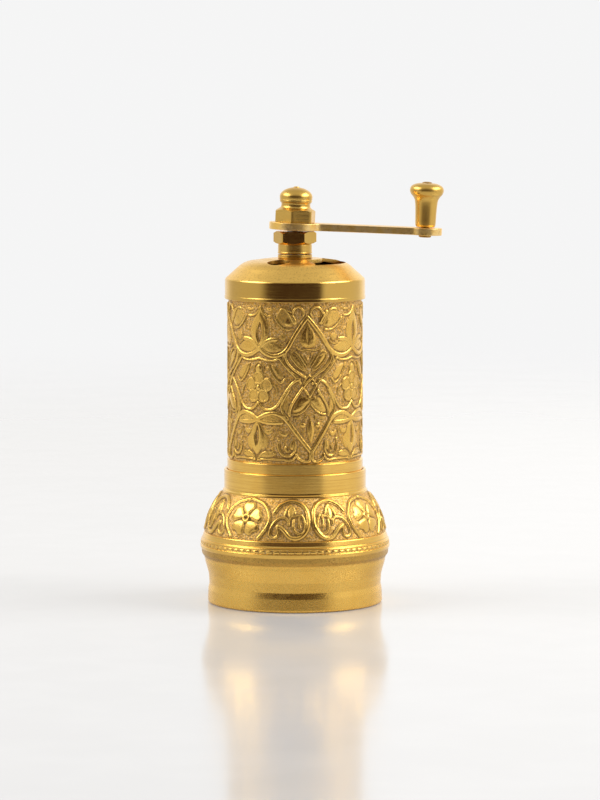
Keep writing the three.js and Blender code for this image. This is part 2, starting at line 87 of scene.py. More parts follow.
def smooth_curve(points, per_span=7, closed=False):
    """A Catmull-Rom curve through the points, as an array of positions."""
    p = np.array(points, float)
    if closed:
        p = np.vstack([p[-1], p, p[0], p[1]])
    else:
        p = np.vstack([2 * p[0] - p[1], p, 2 * p[-1] - p[-2]])
    t = np.linspace(0, 1, per_span, endpoint=False)[:, None]
    spans = []
    for a, b, c, d in zip(p, p[1:], p[2:], p[3:]):
        spans.append(
            0.5 * (2 * b + (c - a) * t + (2 * a - 5 * b + 4 * c - d) * t**2 + (3 * b - a - 3 * c + d) * t**3)
        )
    out = np.vstack(spans)
    return out if closed else np.vstack([out, p[-2]])


def rounded(profile, radius=0.25, steps=4, closed=True):
    """A profile of (r, z) or (r, z, corner radius) points with its corners rounded, and a support point
    beside each corner so that flat stretches shade flat."""
    points = [(p[0], p[1], p[2] if len(p) > 2 else radius) for p in profile]
    out = []
    count = len(points)
    for i, (r, z, wanted) in enumerate(points):
        if not closed and i in (0, count - 1):
            out.append((r, z))
            continue
        here = np.array((r, z))
        before = np.array(points[i - 1][:2]) - here
        after = np.array(points[(i + 1) % count][:2]) - here
        len_before = np.linalg.norm(before)
        len_after = np.linalg.norm(after)
        before = before / len_before
        after = after / len_after
        turn = math.pi - math.acos(float(np.clip(before @ after, -1, 1)))
        if turn < math.radians(4) or wanted <= 0:
            out.append((r, z))
            continue
        reach = min(wanted * math.tan(turn / 2), 0.42 * len_before, 0.42 * len_after)
        true_radius = reach / math.tan(turn / 2)
        start = here + before * reach
        end = here + after * reach
        support = 0.35 * reach
        if len_before > 2.6 * (reach + support):
            out.append(tuple(start + before * support))
        centre_way = before + after
        centre = here + centre_way / np.linalg.norm(centre_way) * true_radius / math.cos(turn / 2)
        for k in range(steps + 1):
            f = k / steps
            arc = start * (1 - f) + end * f - centre
            out.append(tuple(centre + arc / np.linalg.norm(arc) * true_radius))
        if len_after > 2.6 * (reach + support):
            out.append(tuple(end + after * support))
    return np.array(out)


def make_object(name, points_mm, faces, matrix=None):
    mesh = bpy.data.meshes.new(name)
    mesh.from_pydata((np.asarray(points_mm, float) * MM).tolist(), [], faces)
    mesh.validate()
    mesh.update()
    mesh.shade_smooth()
    obj = bpy.data.objects.new(name, mesh)
    bpy.context.scene.collection.objects.link(obj)
    if matrix is not None:
        mesh.transform(matrix)
    return obj


def grid_faces(rows, columns, rows_close):
    """Quads over a grid that closes on itself round its columns, and down its rows if asked."""
    row = np.arange(rows if rows_close else rows - 1)
    column = np.arange(columns)
    a = row[:, None] * columns + column
    b = row[:, None] * columns + (column + 1) % columns
    above = ((row + 1) % rows)[:, None] * columns
    return np.stack([a, b, above + (column + 1) % columns, above + column], -1).reshape(-1, 4)


def turned(name, profile, segments=160, matrix=None, push=None):
    """A closed solid of revolution. The profile starts and ends on the axis, or closes on itself.
    push is an array of outward offsets in mm, one row per profile point and one column per segment."""
    profile = np.asarray(profile, float)
    on_axis = profile[0, 0] < 1e-9 and profile[-1, 0] < 1e-9
    ring = profile[1:-1] if on_axis else profile
    angle = angles_round(segments)
    radius = np.repeat(ring[:, :1], segments, 1)
    height = np.repeat(ring[:, 1:2], segments, 1)
    if push is not None:
        way = np.gradient(ring, axis=0)
        way = way / np.linalg.norm(way, axis=1)[:, None]
        radius = radius + push * way[:, 1:2]
        height = height - push * way[:, 0:1]
    points = np.stack([radius * np.cos(angle), radius * np.sin(angle), height], -1).reshape(-1, 3)
    faces = grid_faces(len(ring), segments, not on_axis).tolist()
    if on_axis:
        bottom = len(points)
        top = bottom + 1
        last = (len(ring) - 1) * segments
        points = np.vstack([points, [[0, 0, profile[0, 1]], [0, 0, profile[-1, 1]]]])
        for i in range(segments):
            j = (i + 1) % segments
            faces.append([bottom, j, i])
            faces.append([top, last + i, last + j])
    return make_object(name, points, faces, matrix)


def store(obj, name, values):
    """Keeps one number per vertex on the mesh, for its material to read."""
    attribute = obj.data.attributes.new(name, "FLOAT", "POINT")
    full = np.zeros(len(obj.data.vertices), np.float32)
    flat = np.asarray(values, np.float32).ravel()
    full[: len(flat)] = flat
    attribute.data.foreach_set("value", full)


def add_bevel(obj, width, segments=2, angle=30):
    modifier = obj.modifiers.new("edges", "BEVEL")
    modifier.width = width * MM
    modifier.segments = segments
    modifier.limit_method = "ANGLE"
    modifier.angle_limit = math.radians(angle)
    modifier.harden_normals = True
    obj.data.set_sharp_from_angle(angle=math.radians(angle))


def place(obj, body, slot, material, *nodes):
    """Gives a piece its material and its body, and hides the CAD nodes that it stands for."""
    obj.data.materials.clear()
    obj.data.materials.append(material)
    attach(obj, body)
    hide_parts(*nodes)


# --- Relief: raised lines and petals drawn on a flat sheet of points ---


class Sheet:
    """Heights over a grid of (across, up) positions in mm. Motifs are drawn with their mirror images,
    and again beyond the sheet's two ends, where the next repeats begin."""

    def __init__(self, across, up, period):
        self.across = across
        self.up = up
        self.period = period
        self.flips = (-1, 1)
        self.height = np.zeros(across.shape)

    def copies(self, points):
        for flip in self.flips:
            for shift in (-self.period, 0, self.period):
                copy = np.array(points, float)
                copy[:, 0] = flip * copy[:, 0] + shift
                yield copy

    def near(self, points, margin):
        low = points.min(0) - margin
        high = points.max(0) + margin
        inside = (self.across > low[0]) & (self.across < high[0]) & (self.up > low[1]) & (self.up < high[1])
        return inside if inside.any() else None

    @staticmethod
    def reach(x, y, line, closed=False):
        """Distance to a polyline, and how far along it the nearest point lies, from 0 to 1."""
        start = line if closed else line[:-1]
        end = np.roll(line, -1, 0) if closed else line[1:]
        step = end - start
        long = np.maximum((step**2).sum(1), 1e-12)
        dx = x[:, None] - start[:, 0]
        dy = y[:, None] - start[:, 1]
        t = np.clip((dx * step[:, 0] + dy * step[:, 1]) / long, 0, 1)
        gap = np.hypot(dx - t * step[:, 0], dy - t * step[:, 1])
        best = gap.argmin(1)
        pick = np.arange(len(x))
        return gap[pick, best], (best + t[pick, best]) / len(start)

    @staticmethod
    def within(x, y, outline):
        """Which of the points lie inside a closed outline."""
        left = outline[:, 0]
        low = outline[:, 1]
        after = np.roll(outline, -1, 0)
        climb = after[:, 1] - low
        slope = (after[:, 0] - left) / np.where(np.abs(climb) < LEVEL, LEVEL, climb)
        crosses = (low > y[:, None]) != (after[:, 1] > y[:, None])
        return (crosses & (x[:, None] < slope * (y[:, None] - low) + left)).sum(1) % 2 == 1

    def line(self, points, half, height, taper=0.0, groove=0.0, over=0.0):
        """A raised line with a rounded section. taper thins it towards its ends; groove sinks its middle;
        over clears a margin beside it where it passes above the ribbons already drawn."""
        for copy in self.copies(smooth_curve(points)):
            inside = self.near(copy, half + over + 0.2)
            if inside is None:
                continue
            gap, along = self.reach(self.across[inside], self.up[inside], copy)
            if over:
                crossing = np.abs(self.up[inside] - CROSSING_HEIGHT) < CROSSING_REACH
                beside = crossing & (gap < half + over)
                self.height[inside] = np.where(beside, 0, self.height[inside])
            ends = np.clip(np.minimum(along, 1 - along) / max(taper, 1e-6), 0, 1) if taper else 1.0
            width = half * (0.35 + 0.65 * np.sqrt(ends)) if taper else half
            f = np.clip(1 - (gap / width) ** 2, 0, 1)
            rise = height * f**0.7 * (0.6 + 0.4 * np.sqrt(ends) if taper else 1)
            if groove:
                rise = rise - groove * np.exp(-((gap / (0.3 * half)) ** 2)) * (f > 0)
            self.height[inside] = np.maximum(self.height[inside], rise)

    def petal(self, points, height, edge=0.8, rim=0.0):
        """A closed bulging shape. edge is how far in the bulge rises; rim adds a raised border."""
        for copy in self.copies(smooth_curve(points, closed=True)):
            inside = self.near(copy, 0.3)
            if inside is None:
                continue
            x = self.across[inside]
            y = self.up[inside]
            gap, _ = self.reach(x, y, copy, closed=True)
            within = self.within(x, y, copy)
            f = np.clip(gap / edge, 0, 1)
            rise = np.where(within, height * np.sqrt(1 - (1 - f) ** 2), 0)
            if rim:
                rise = np.maximum(rise, rim * np.clip(1 - (gap / 0.3) ** 2, 0, 1) ** 0.7)
            self.height[inside] = np.maximum(self.height[inside], rise)

    def bead(self, x, y, radius, height):
        self.petal(circle(x, y, radius, EIGHTHS), height, edge=radius * 0.8)

    def slit(self, points, depth):
        """A lens-shaped hollow cut into what is already there."""
        for copy in self.copies(smooth_curve(points, closed=True)):
            inside = self.near(copy, 0.1)
            if inside is None:
                continue
            x = self.across[inside]
            y = self.up[inside]
            gap, _ = self.reach(x, y, copy, closed=True)
            cut = np.where(self.within(x, y, copy), depth * np.clip(gap / 0.5, 0, 1), 0)
            self.height[inside] = np.maximum(self.height[inside] - cut, 0)


def mirrored(points, axis=0.0):
    """An outline whose right half is given from top to bottom, with its mirror image about axis."""
    return list(points) + [(2 * axis - x, y) for x, y in points[-2:0:-1]]


# The body's pattern. Across is measured from the axis of a diamond; a flower stands half a
# repeat away from it. Up is the height above the table.

REPEAT = BODY_R * QUARTER
FLOWER = REPEAT / 2
CROSSING_HEIGHT = 58.0  # where the ribbons between two diamonds pass over each other
CROSSING_REACH = 3.2
LEAN = 0.03  # how far the diamonds lean one way and the flowers the other


def draw_frame(sheet):
    """The two pointed diamonds and the ribbons that cross between them."""
    tent = [
        (0, 75.4), (1.3, 73.9), (3.4, 71), (5, 68.4), (6, 67), (7.5, 65.9), (9.5, 65.4),
        (11.7, 65.9), (FLOWER, 67.3), (15.4, 68.7), (17, 69.5), (18.8, 69.7),
    ]
    lower_tent = [
        (0, 40.7), (1.8, 43.1), (3.8, 45.9), (5.8, 48.7), (7.3, 50.1), (9.3, 50.7), (11.5, 50.3),
        (FLOWER, 49.1), (15.7, 48.5), (18, 48.3), (20.4, 48.4),
    ]
    sheet.line(tent, 0.58, 0.46, groove=0.14)
    sheet.line(lower_tent, 0.58, 0.46, groove=0.14)
    ribbons = [
        ([(6, 67), (6.3, 65.6), (5.7, 63.9), (4.1, 62.1), (2.2, 60.8), (0.4, 59.6), (-1.4, 57.8),
          (-3.1, 55.5), (-4.5, 53.3), (-5.2, 51.6), (-5.3, 50.2)], 0.36, 0.44),
        ([(6.6, 66), (6.9, 64.7), (6.3, 63.2), (4.6, 61.4), (2.9, 60.1)], 0.2, 0.3),
        ([(FLOWER, 64.8), (11.6, 64.3), (9.4, 64.3), (8, 64.8), (7.1, 63.8), (5.6, 62.1), (3.9, 60.4),
          (2.4, 58.7), (0.9, 56.4), (0, 54.9)], 0.3, 0.4),
    ]
    for flips, over in (((-1,), 0), ((1,), 0.5)):
        sheet.flips = flips
        for points, half, height in ribbons:
            sheet.line(points, half, height, over=over)
    sheet.flips = (-1, 1)
    sheet.line([(0, 60.7), (1, 59.4), (1.7, 58.1), (1.3, 57), (0.6, 55.9), (0, 55.2)], 0.22, 0.42)
    sheet.line(
        [(2.6, 59.5), (4.2, 58.7), (5.7, 57), (7.1, 54.8), (8.5, 52.7), (10.1, 51.7), (12.1, 51.8),
         (FLOWER, 53.4)],
        0.36, 0.42,
    )
    sheet.line([(5.2, 57), (6.4, 54.9), (7.3, 52.8), (6.9, 50.9), (5.7, 49.4)], 0.32, 0.4)
    sheet.petal(
        [(5.6, 55.6), (6.7, 53.8), (7, 52.2), (6.3, 50.9), (5.5, 50.6), (5.5, 52.6)],
        0.2, edge=0.6,
    )


def draw_inside_frame(sheet):
    """The bud and leaves in the upper diamond, the wings and the drooping bud in the lower one."""
    sheet.petal(
        mirrored([(0, 74.2), (0.9, 72.8), (1.9, 71), (2.3, 69.3), (1.5, 67.9), (0, 67.5)]),
        0.33, edge=1.5,
    )
    sheet.slit(mirrored([(0, 73.2), (0.35, 71.8), (0.4, 69.8), (0, 68.4)]), 0.12)
    sheet.line([(1, 72.2), (1.35, 70.8), (1.3, 69.2), (0.8, 68.2)], 0.16, 0.38, taper=0.3)
    sheet.line([(3.4, 68.2), (2.4, 67.2), (0, 66.9), (-2.4, 67.2), (-3.4, 68.2)], 0.24, 0.38, taper=0.12)
    sheet.line([(4.9, 66.5), (3.6, 66.7), (2.8, 66), (1.6, 64.2), (0.6, 62.6)], 0.22, 0.4, taper=0.15)
    sheet.line([(4.9, 66.4), (4.6, 65), (3.3, 63.3), (1.9, 62.1), (0.8, 61.6)], 0.24, 0.42, taper=0.15)
    sheet.petal(
        [(0.9, 61.9), (1.7, 63.7), (3, 65.6), (4.7, 66.3), (4.4, 64.9), (3.2, 63.4), (1.9, 62.3)],
        0.28, edge=0.6,
    )
    sheet.line([(2.1, 66), (1, 64.5), (0.1, 62.9)], 0.2, 0.34, taper=0.3)
    sheet.line([(1.1, 65.9), (0.7, 65.1), (0.15, 64.4)], 0.15, 0.24, taper=0.4)
    sheet.petal(
        [(0, 54.6), (1.3, 55.2), (2.7, 54.7), (3.9, 53), (4.5, 51.2), (3.1, 51), (1.8, 51.7), (0.7, 52.8),
         (0, 53.6)],
        0.34, edge=1.2,
    )
    sheet.line([(1.9, 55), (2.5, 55.6), (3.2, 55.3), (3.9, 54)], 0.2, 0.38, taper=0.25)
    sheet.line([(0, 53.3), (0.6, 52.7), (1.6, 51.5), (2.9, 50.7), (4.7, 50.4)], 0.26, 0.42, taper=0.1)
    sheet.petal([(2.2, 49.5), (3.2, 49.9), (4.3, 49.7), (3.3, 49.1)], 0.26, edge=0.4)
    sheet.petal(mirrored([(0, 49.3), (0.6, 48.2), (1, 46.8), (0.75, 45), (0, 43)]), 0.36, edge=0.9)
    sheet.line([(0.4, 50.4), (1.2, 50.3), (1.5, 49.4), (1, 48.8)], 0.2, 0.34, taper=0.2)
    sheet.bead(2, 47.8, 0.7, 0.38)
    sheet.line([(2.7, 46.7), (2.1, 46), (1.3, 46.2)], 0.2, 0.3, taper=0.4)
    sheet.line([(2.1, 45.6), (1.6, 44.7)], 0.16, 0.2, taper=0.4)


def draw_upper_field(sheet):
    """Loops over the diamond, the curled leaf beside it, and the lily with its leaves."""
    sheet.line(
        [(4.1, 74.5), (4.1, 76.3), (3.4, 77.6), (2.4, 78), (1.4, 77.5), (0.95, 76.5), (1.3, 75.4)],
        0.3, 0.42, taper=0.12,
    )
    sheet.petal(
        [(2.9, 74.2), (3.6, 75.7), (4.7, 77), (5.3, 77.2), (5.2, 76.2), (4.2, 74.7), (3.4, 73.5)],
        0.4, edge=0.5,
    )
    sheet.petal(
        [(9, 75.4), (8.1, 76.9), (6.6, 77.3), (5.4, 76.6), (4.6, 75.2), (4, 73.6), (5.2, 72.6), (6.7, 72.9),
         (8, 73.9)],
        0.2, edge=0.9,
    )
    sheet.petal(
        [(5, 75), (4.4, 73.6), (5.1, 72.9), (6.3, 73.1), (6.6, 74.2), (5.9, 75.2)],
        0.34, edge=0.9,
    )
    sheet.line(
        [(8.1, 77), (7.2, 77.5), (6.1, 77.3), (5.2, 76.3), (4.3, 74.7), (3.5, 73.4)],
        0.27, 0.42, taper=0.12,
    )
    sheet.line(
        [(9.4, 75.6), (8.8, 74.5), (7.7, 73.2), (6.4, 72.3), (5, 72.2), (4.2, 72.5)],
        0.25, 0.4, taper=0.15,
    )
    sheet.line([(8.5, 69.7), (8, 68.9), (7, 68.5), (6, 69.1), (5.6, 69.9)], 0.2, 0.32, taper=0.25)
    sheet.petal(
        [(8, 70.5), (7.5, 69.5), (6.5, 69.4), (5.9, 70.4), (6.6, 71.2), (7.5, 71.2)],
        0.22, edge=0.6,
    )
    lily = [(FLOWER, 77.9), (12.9, 76.2), (11.9, 74.6), (11.2, 73), (11, 71.3), (11.4, 69.8), (12.5, 68.5),
            (FLOWER, 67.8)]
    sheet.petal(mirrored(lily, FLOWER), 0.36, edge=1.6)
    sheet.slit(mirrored([(FLOWER, 74.3), (13.15, 72.6), (13.05, 70.6), (FLOWER, 68.5)], FLOWER), 0.36)
    sheet.line([(13.5, 68.4), (12.85, 70.2), (12.85, 72.4), (13.4, 74.4)], 0.2, 0.45, taper=0.25)
    sheet.line([(12.6, 69.2), (12, 70.8), (12.1, 72.6), (12.9, 74.6)], 0.14, 0.38, taper=0.35)
    sheet.line(
        [(FLOWER, 78.1), (13.2, 76.9), (12.3, 76), (11.1, 75.6), (9.9, 75.7)],
        0.24, 0.42, taper=0.15,
    )
    sheet.petal(
        [(12.2, 77.6), (11, 77.5), (9.9, 77.7), (9, 78.1), (10.1, 77.1), (11.2, 77)],
        0.32, edge=0.35,
    )
    sheet.line([(10.9, 72.4), (10.4, 72.1), (9.8, 72.4)], 0.17, 0.28, taper=0.4)
    sheet.line([(10, 74.9), (9.5, 73.8), (9.2, 72.6)], 0.15, 0.2, taper=0.4)
    sheet.petal(
        [(13.4, 67.5), (12.2, 68.7), (10.6, 69.4), (8.7, 69), (7.1, 67.8), (6.9, 67.2), (8.6, 66.4), (11.2, 66.3)],
        0.26, edge=0.9,
    )
    sheet.line([(11.7, 67), (10.2, 67.4), (8.9, 68.5)], 0.18, 0.36, taper=0.3)
    sheet.line([(11.4, 68.4), (10.2, 68.6), (9.2, 69.3)], 0.16, 0.34, taper=0.3)
    sheet.line([(9.6, 66.7), (8.3, 67), (7.4, 67.6)], 0.14, 0.32, taper=0.3)


def draw_flower_cell(sheet):
    """The rosette under its bud, and the leaves at its sides."""
    centre = 57.2
    lobe_ring = 2.5
    lobe_r = 1.5
    for a in [math.radians(90 + 72 * k) for k in range(5)]:
        x = FLOWER + lobe_ring * math.cos(a)
        y = centre + lobe_ring * math.sin(a)
        sheet.petal(circle(x, y, lobe_r, EIGHTHS), 0.22, edge=0.9, rim=0.37)
    sheet.bead(FLOWER, centre, 0.8, 0.44)
    sheet.petal(
        mirrored([(FLOWER, 63.2), (12.9, 62.4), (13, 61.2), (FLOWER, 60.7)], FLOWER),
        0.38, edge=0.8,
    )
    sheet.line([(12.4, 61.3), (12.5, 62.6), (13.2, 63.5), (FLOWER, 63.7)], 0.16, 0.28, taper=0.2)
    sheet.line([(12, 60.5), (12.7, 60.1), (FLOWER, 60.6)], 0.2, 0.3, taper=0.2)
    sheet.line([(9.9, 58.2), (8.9, 57.5), (8.4, 56.3), (8.6, 55)], 0.22, 0.34, taper=0.25)
    sheet.line([(9.7, 54.7), (10.2, 53.7), (11.2, 53.2)], 0.16, 0.24, taper=0.4)
    sheet.line([(10.2, 60.4), (11, 59.6), (11.1, 58.8)], 0.15, 0.22, taper=0.4)
    sheet.bead(11.2, 62.2, 0.34, 0.26)
    sheet.line([(10.9, 63.4), (10.4, 62), (9.4, 60.3), (8.2, 59), (7.3, 58.6), (6.6, 59.4), (5.9, 60)],
               0.25, 0.4, taper=0.1)
    sheet.petal([(10.4, 63.1), (9.3, 60.9), (8.2, 59.6), (7.2, 59.5), (6.6, 60.3), (7.6, 61.8), (8.9, 62.9)],
                0.26, edge=1.1)
    sheet.line([(9.8, 62.6), (8.6, 61.1), (7.5, 60.3)], 0.14, 0.32, taper=0.3)


def draw_lower_field(sheet):
    """The hanging lily with its leaves, and the scrolls along the lower edge."""
    lily = [(FLOWER, 48.8), (12.7, 47.7), (11.8, 46), (11.5, 44.2), (11.9, 42.3), (12.9, 40.8), (FLOWER, 40)]
    sheet.petal(
        [(12.2, 45.6), (11.1, 44.9), (10.4, 43.6), (10.9, 42), (12.2, 41.2), (12.6, 43.4)],
        0.24, edge=0.8,
    )
    sheet.petal(mirrored(lily, FLOWER), 0.4, edge=1.3)
    sheet.slit(mirrored([(FLOWER, 47.7), (13.25, 46.2), (13.15, 44.2), (FLOWER, 42.1)], FLOWER), 0.36)
    sheet.line([(13.4, 48), (12.85, 46.2), (12.9, 44), (13.5, 42)], 0.18, 0.44, taper=0.25)
    sheet.petal([(13.3, 48.9), (11.6, 50), (9.4, 50.3), (7.3, 49.5), (6.9, 48.9), (9, 48.6), (11.4, 48.6)],
                0.2, edge=0.6)
    sheet.line([(10.6, 49.9), (9.2, 49.6), (8, 49.1)], 0.14, 0.3, taper=0.3)
    sheet.petal(
        [(11.8, 46.7), (10.6, 46.4), (9.4, 46.9), (9.6, 45.7), (10.7, 45.2), (11.6, 45.6)],
        0.26, edge=0.5,
    )
    sheet.line([(8.3, 47.6), (8.6, 46), (9.3, 44.4), (10.1, 43.4)], 0.15, 0.26, taper=0.3)
    sheet.petal(
        [(8, 46.4), (7.6, 45.3), (6.8, 44.7), (5.9, 45), (5.5, 46.2), (6.7, 45.8)],
        0.28, edge=0.4,
    )
    sheet.petal([(8.4, 44.3), (7.4, 44.3), (7.9, 43.4)], 0.3, edge=0.3)
    sheet.bead(5.3, 44.6, 0.36, 0.28)
    sheet.line([(9.3, 42.4), (9.5, 41.5), (9.2, 40.9)], 0.15, 0.22, taper=0.4)
    sheet.line(
        [(8, 43.3), (8, 41.9), (7.4, 40.5), (6.4, 39.8), (5.2, 39.9), (4.3, 40.9), (4, 42.4), (4.2, 43.8)],
        0.3, 0.42, taper=0.12,
    )
    sheet.line([(5.9, 42.6), (6.4, 41.8), (6, 41), (5.2, 41.2)], 0.26, 0.4, taper=0.2)
    sheet.petal([(4.4, 44), (5.3, 42.9), (5.2, 41.6), (4.5, 41.4), (4.2, 42.6)], 0.3, edge=0.5)
    sheet.line([(13.5, 38.6), (11.5, 38.9), (8, 38.9), (5.3, 38.7), (4.3, 39.2), (3.8, 40.2)], 0.26, 0.4)
    sheet.line([(3.8, 40.2), (3.3, 39.2), (2.2, 38.5), (1, 38.3), (0.35, 38.9), (0.3, 40.3)], 0.36, 0.44)
    sheet.line([(3.4, 41.9), (2.6, 42.4)], 0.14, 0.2, taper=0.4)
    sheet.petal([(13.5, 38.9), (12.5, 40.1), (11.1, 40.7), (9.5, 40.5), (8.8, 39.9), (10.2, 39.3), (12, 39.2)],
                0.26, edge=0.7)
    sheet.line([(13.6, 38.8), (12.5, 40.1), (11.1, 40.8), (9.5, 40.7), (8.5, 40)], 0.22, 0.38, taper=0.15)


GRAIN = 0.03  # height of the pitting, in mm
RAISED = 0.42  # relief at which a point counts as fully raised
SHADE_BLURS = 5
SHADE_DEPTH = 0.13  # how far below its surroundings a point has the full painted shade


def grain(shape, amount, seed, sizes):
    """Irregular pitting that repeats round the part: the sum of blurred random fields."""
    random = np.random.default_rng(seed)
    total = np.zeros(shape)
    for size in sizes:
        field = random.standard_normal(shape)
        for axis in (0, 1):
            for _ in range(size):
                field = (np.roll(field, 1, axis) + 2 * field + np.roll(field, -1, axis)) / 4
        total += field / field.std()
    return amount * total / len(sizes)


def cavity(relief):
    """How deep each point lies beside raised work, from 0 to 1: where painted shade darkens the ground."""
    soft = relief
    for axis in (0, 1):
        for _ in range(SHADE_BLURS):
            soft = (np.roll(soft, 1, axis) + 2 * soft + np.roll(soft, -1, axis)) / 4
    return np.clip((soft - relief) / SHADE_DEPTH, 0, 1)


# --- Materials ---


class Nodes:
    """Short-hand for building a node tree."""

    def __init__(self, tree):
        self.tree = tree

    def add(self, kind, **values):
        node = self.tree.nodes.new(kind)
        for key, value in values.items():
            setattr(node, key, value)
        return node

    def link(self, output, socket):
        self.tree.links.new(output, socket)

    def set_input(self, socket, value):
        if isinstance(value, bpy.types.NodeSocket):
            self.link(value, socket)
        else:
            socket.default_value = value

    def maths(self, operation, a, b=0.0):
        node = self.add("ShaderNodeMath", operation=operation)
        self.set_input(node.inputs[0], a)
        self.set_input(node.inputs[1], b)
        return node.outputs[0]

    def spread(self, value, low, high, to_low=0.0, to_high=1.0):
        node = self.add("ShaderNodeMapRange", interpolation_type="SMOOTHSTEP")
        for socket, given in zip(node.inputs, (value, low, high, to_low, to_high)):
            self.set_input(socket, given)
        return node.outputs[0]

    def mixed(self, factor, a, b):
        node = self.add("ShaderNodeMix", data_type="RGBA")
        self.set_input(node.inputs[0], factor)
        self.set_input(node.inputs[6], a)
        self.set_input(node.inputs[7], b)
        return node.outputs[2]


class MaterialNodes(Nodes):
    """A new material's nodes, with textures placed by the position on the piece."""

    def __init__(self, name):
        self.material = bpy.data.materials.new(name)
        self.material.use_nodes = True
        super().__init__(self.material.node_tree)
        self.shader = self.tree.nodes["Principled BSDF"]
        self.place = self.add("ShaderNodeTexCoord").outputs["Object"]

    def stretched(self, x, y, z):
        node = self.add("ShaderNodeMapping")
        node.inputs["Scale"].default_value = (x, y, z)
        self.link(self.place, node.inputs["Vector"])
        return node.outputs[0]

    def noise(self, scale, detail=3.0, rough=0.55, where=None):
        node = self.add("ShaderNodeTexNoise")
        node.inputs["Scale"].default_value = scale
        node.inputs["Detail"].default_value = detail
        node.inputs["Roughness"].default_value = rough
        self.link(where or self.place, node.inputs["Vector"])
        return node.outputs["Fac"]

    def bump(self, height, distance_mm, strength=1.0, after=None):
        node = self.add("ShaderNodeBump")
        node.inputs["Strength"].default_value = strength
        node.inputs["Distance"].default_value = distance_mm * MM
        self.link(height, node.inputs["Height"])
        if after is not None:
            self.link(after, node.inputs["Normal"])
        return node.outputs[0]

    def attribute(self, name):
        return self.add("ShaderNodeAttribute", attribute_name=name).outputs["Fac"]

    def finish(self, colour, roughness, normal, metallic=1.0):
        self.set_input(self.shader.inputs["Base Color"], colour)
        self.set_input(self.shader.inputs["Roughness"], roughness)
        self.set_input(self.shader.inputs["Metallic"], metallic)
        if normal is not None:
            self.link(normal, self.shader.inputs["Normal"])
        return self.material


BRASS_BRIGHT = (0.95, 0.6, 0.145, 1)
BRASS_WARM = (0.84, 0.47, 0.085, 1)
BRASS_GOLD = (0.75, 0.475, 0.115, 1)
BRASS_RICH = (0.68, 0.39, 0.075, 1)
BRASS_DEEP = (0.6, 0.34, 0.08, 1)
BRASS_DULL = (0.36, 0.2, 0.06, 1)
BRASS_PALE = (0.96, 0.7, 0.33, 1)
# The colour below is brown tarnish for dull brass and the brown of the painted shade on the casting.
PATINA_AND_SHADE = (0.17, 0.09, 0.03, 1)


def turned_brass(name, base_roughness, line_strength, tarnish=0.35, clean=BRASS_BRIGHT, dark=BRASS_WARM,
                 satin_above=None):
    """Brass turned on a lathe: fine rings round the axis, cloudy tarnish, small random scratches. Above
    the height satin_above, in mm, it is left satin with a fine grain."""
    n = MaterialNodes(name)
    cloud = n.noise(110, 4, 0.6)
    rings = n.noise(1.0, 2, 0.5, n.stretched(60, 60, 9000))
    scratches = n.noise(1.0, 2, 0.7, n.stretched(900, 900, 4200))
    fine = n.noise(3200, 2, 0.6)
    colour = n.mixed(n.spread(cloud, 0.3, 0.75, 0.0, tarnish), clean, dark)
    rough = n.spread(cloud, 0.25, 0.8, base_roughness * 0.8, base_roughness * 1.25)
    rough = n.maths("ADD", rough, n.spread(rings, 0.3, 0.7, -0.03, 0.05))
    normal = n.bump(rings, 0.004, line_strength)
    normal = n.bump(scratches, 0.003, 0.3, normal)
    normal = n.bump(fine, 0.003, 0.25, normal)
    if satin_above:
        split = n.add("ShaderNodeSeparateXYZ")
        n.link(n.place, split.inputs[0])
        satin = n.spread(split.outputs[2], (satin_above - 0.3) * MM, (satin_above + 0.3) * MM)
        rough = n.maths("ADD", rough, n.maths("MULTIPLY", satin, 0.12))
        speckle = n.noise(2100, 3, 0.6)
        colour = n.mixed(satin, colour, BRASS_BRIGHT)
        specks = n.spread(speckle, 0.45, 0.75, 0.0, 0.7)
        colour = n.mixed(n.maths("MULTIPLY", satin, specks), colour, BRASS_DEEP)
        normal = n.bump(n.maths("MULTIPLY", satin, speckle), 0.03, 0.6, normal)
    return n.finish(colour, rough, normal)


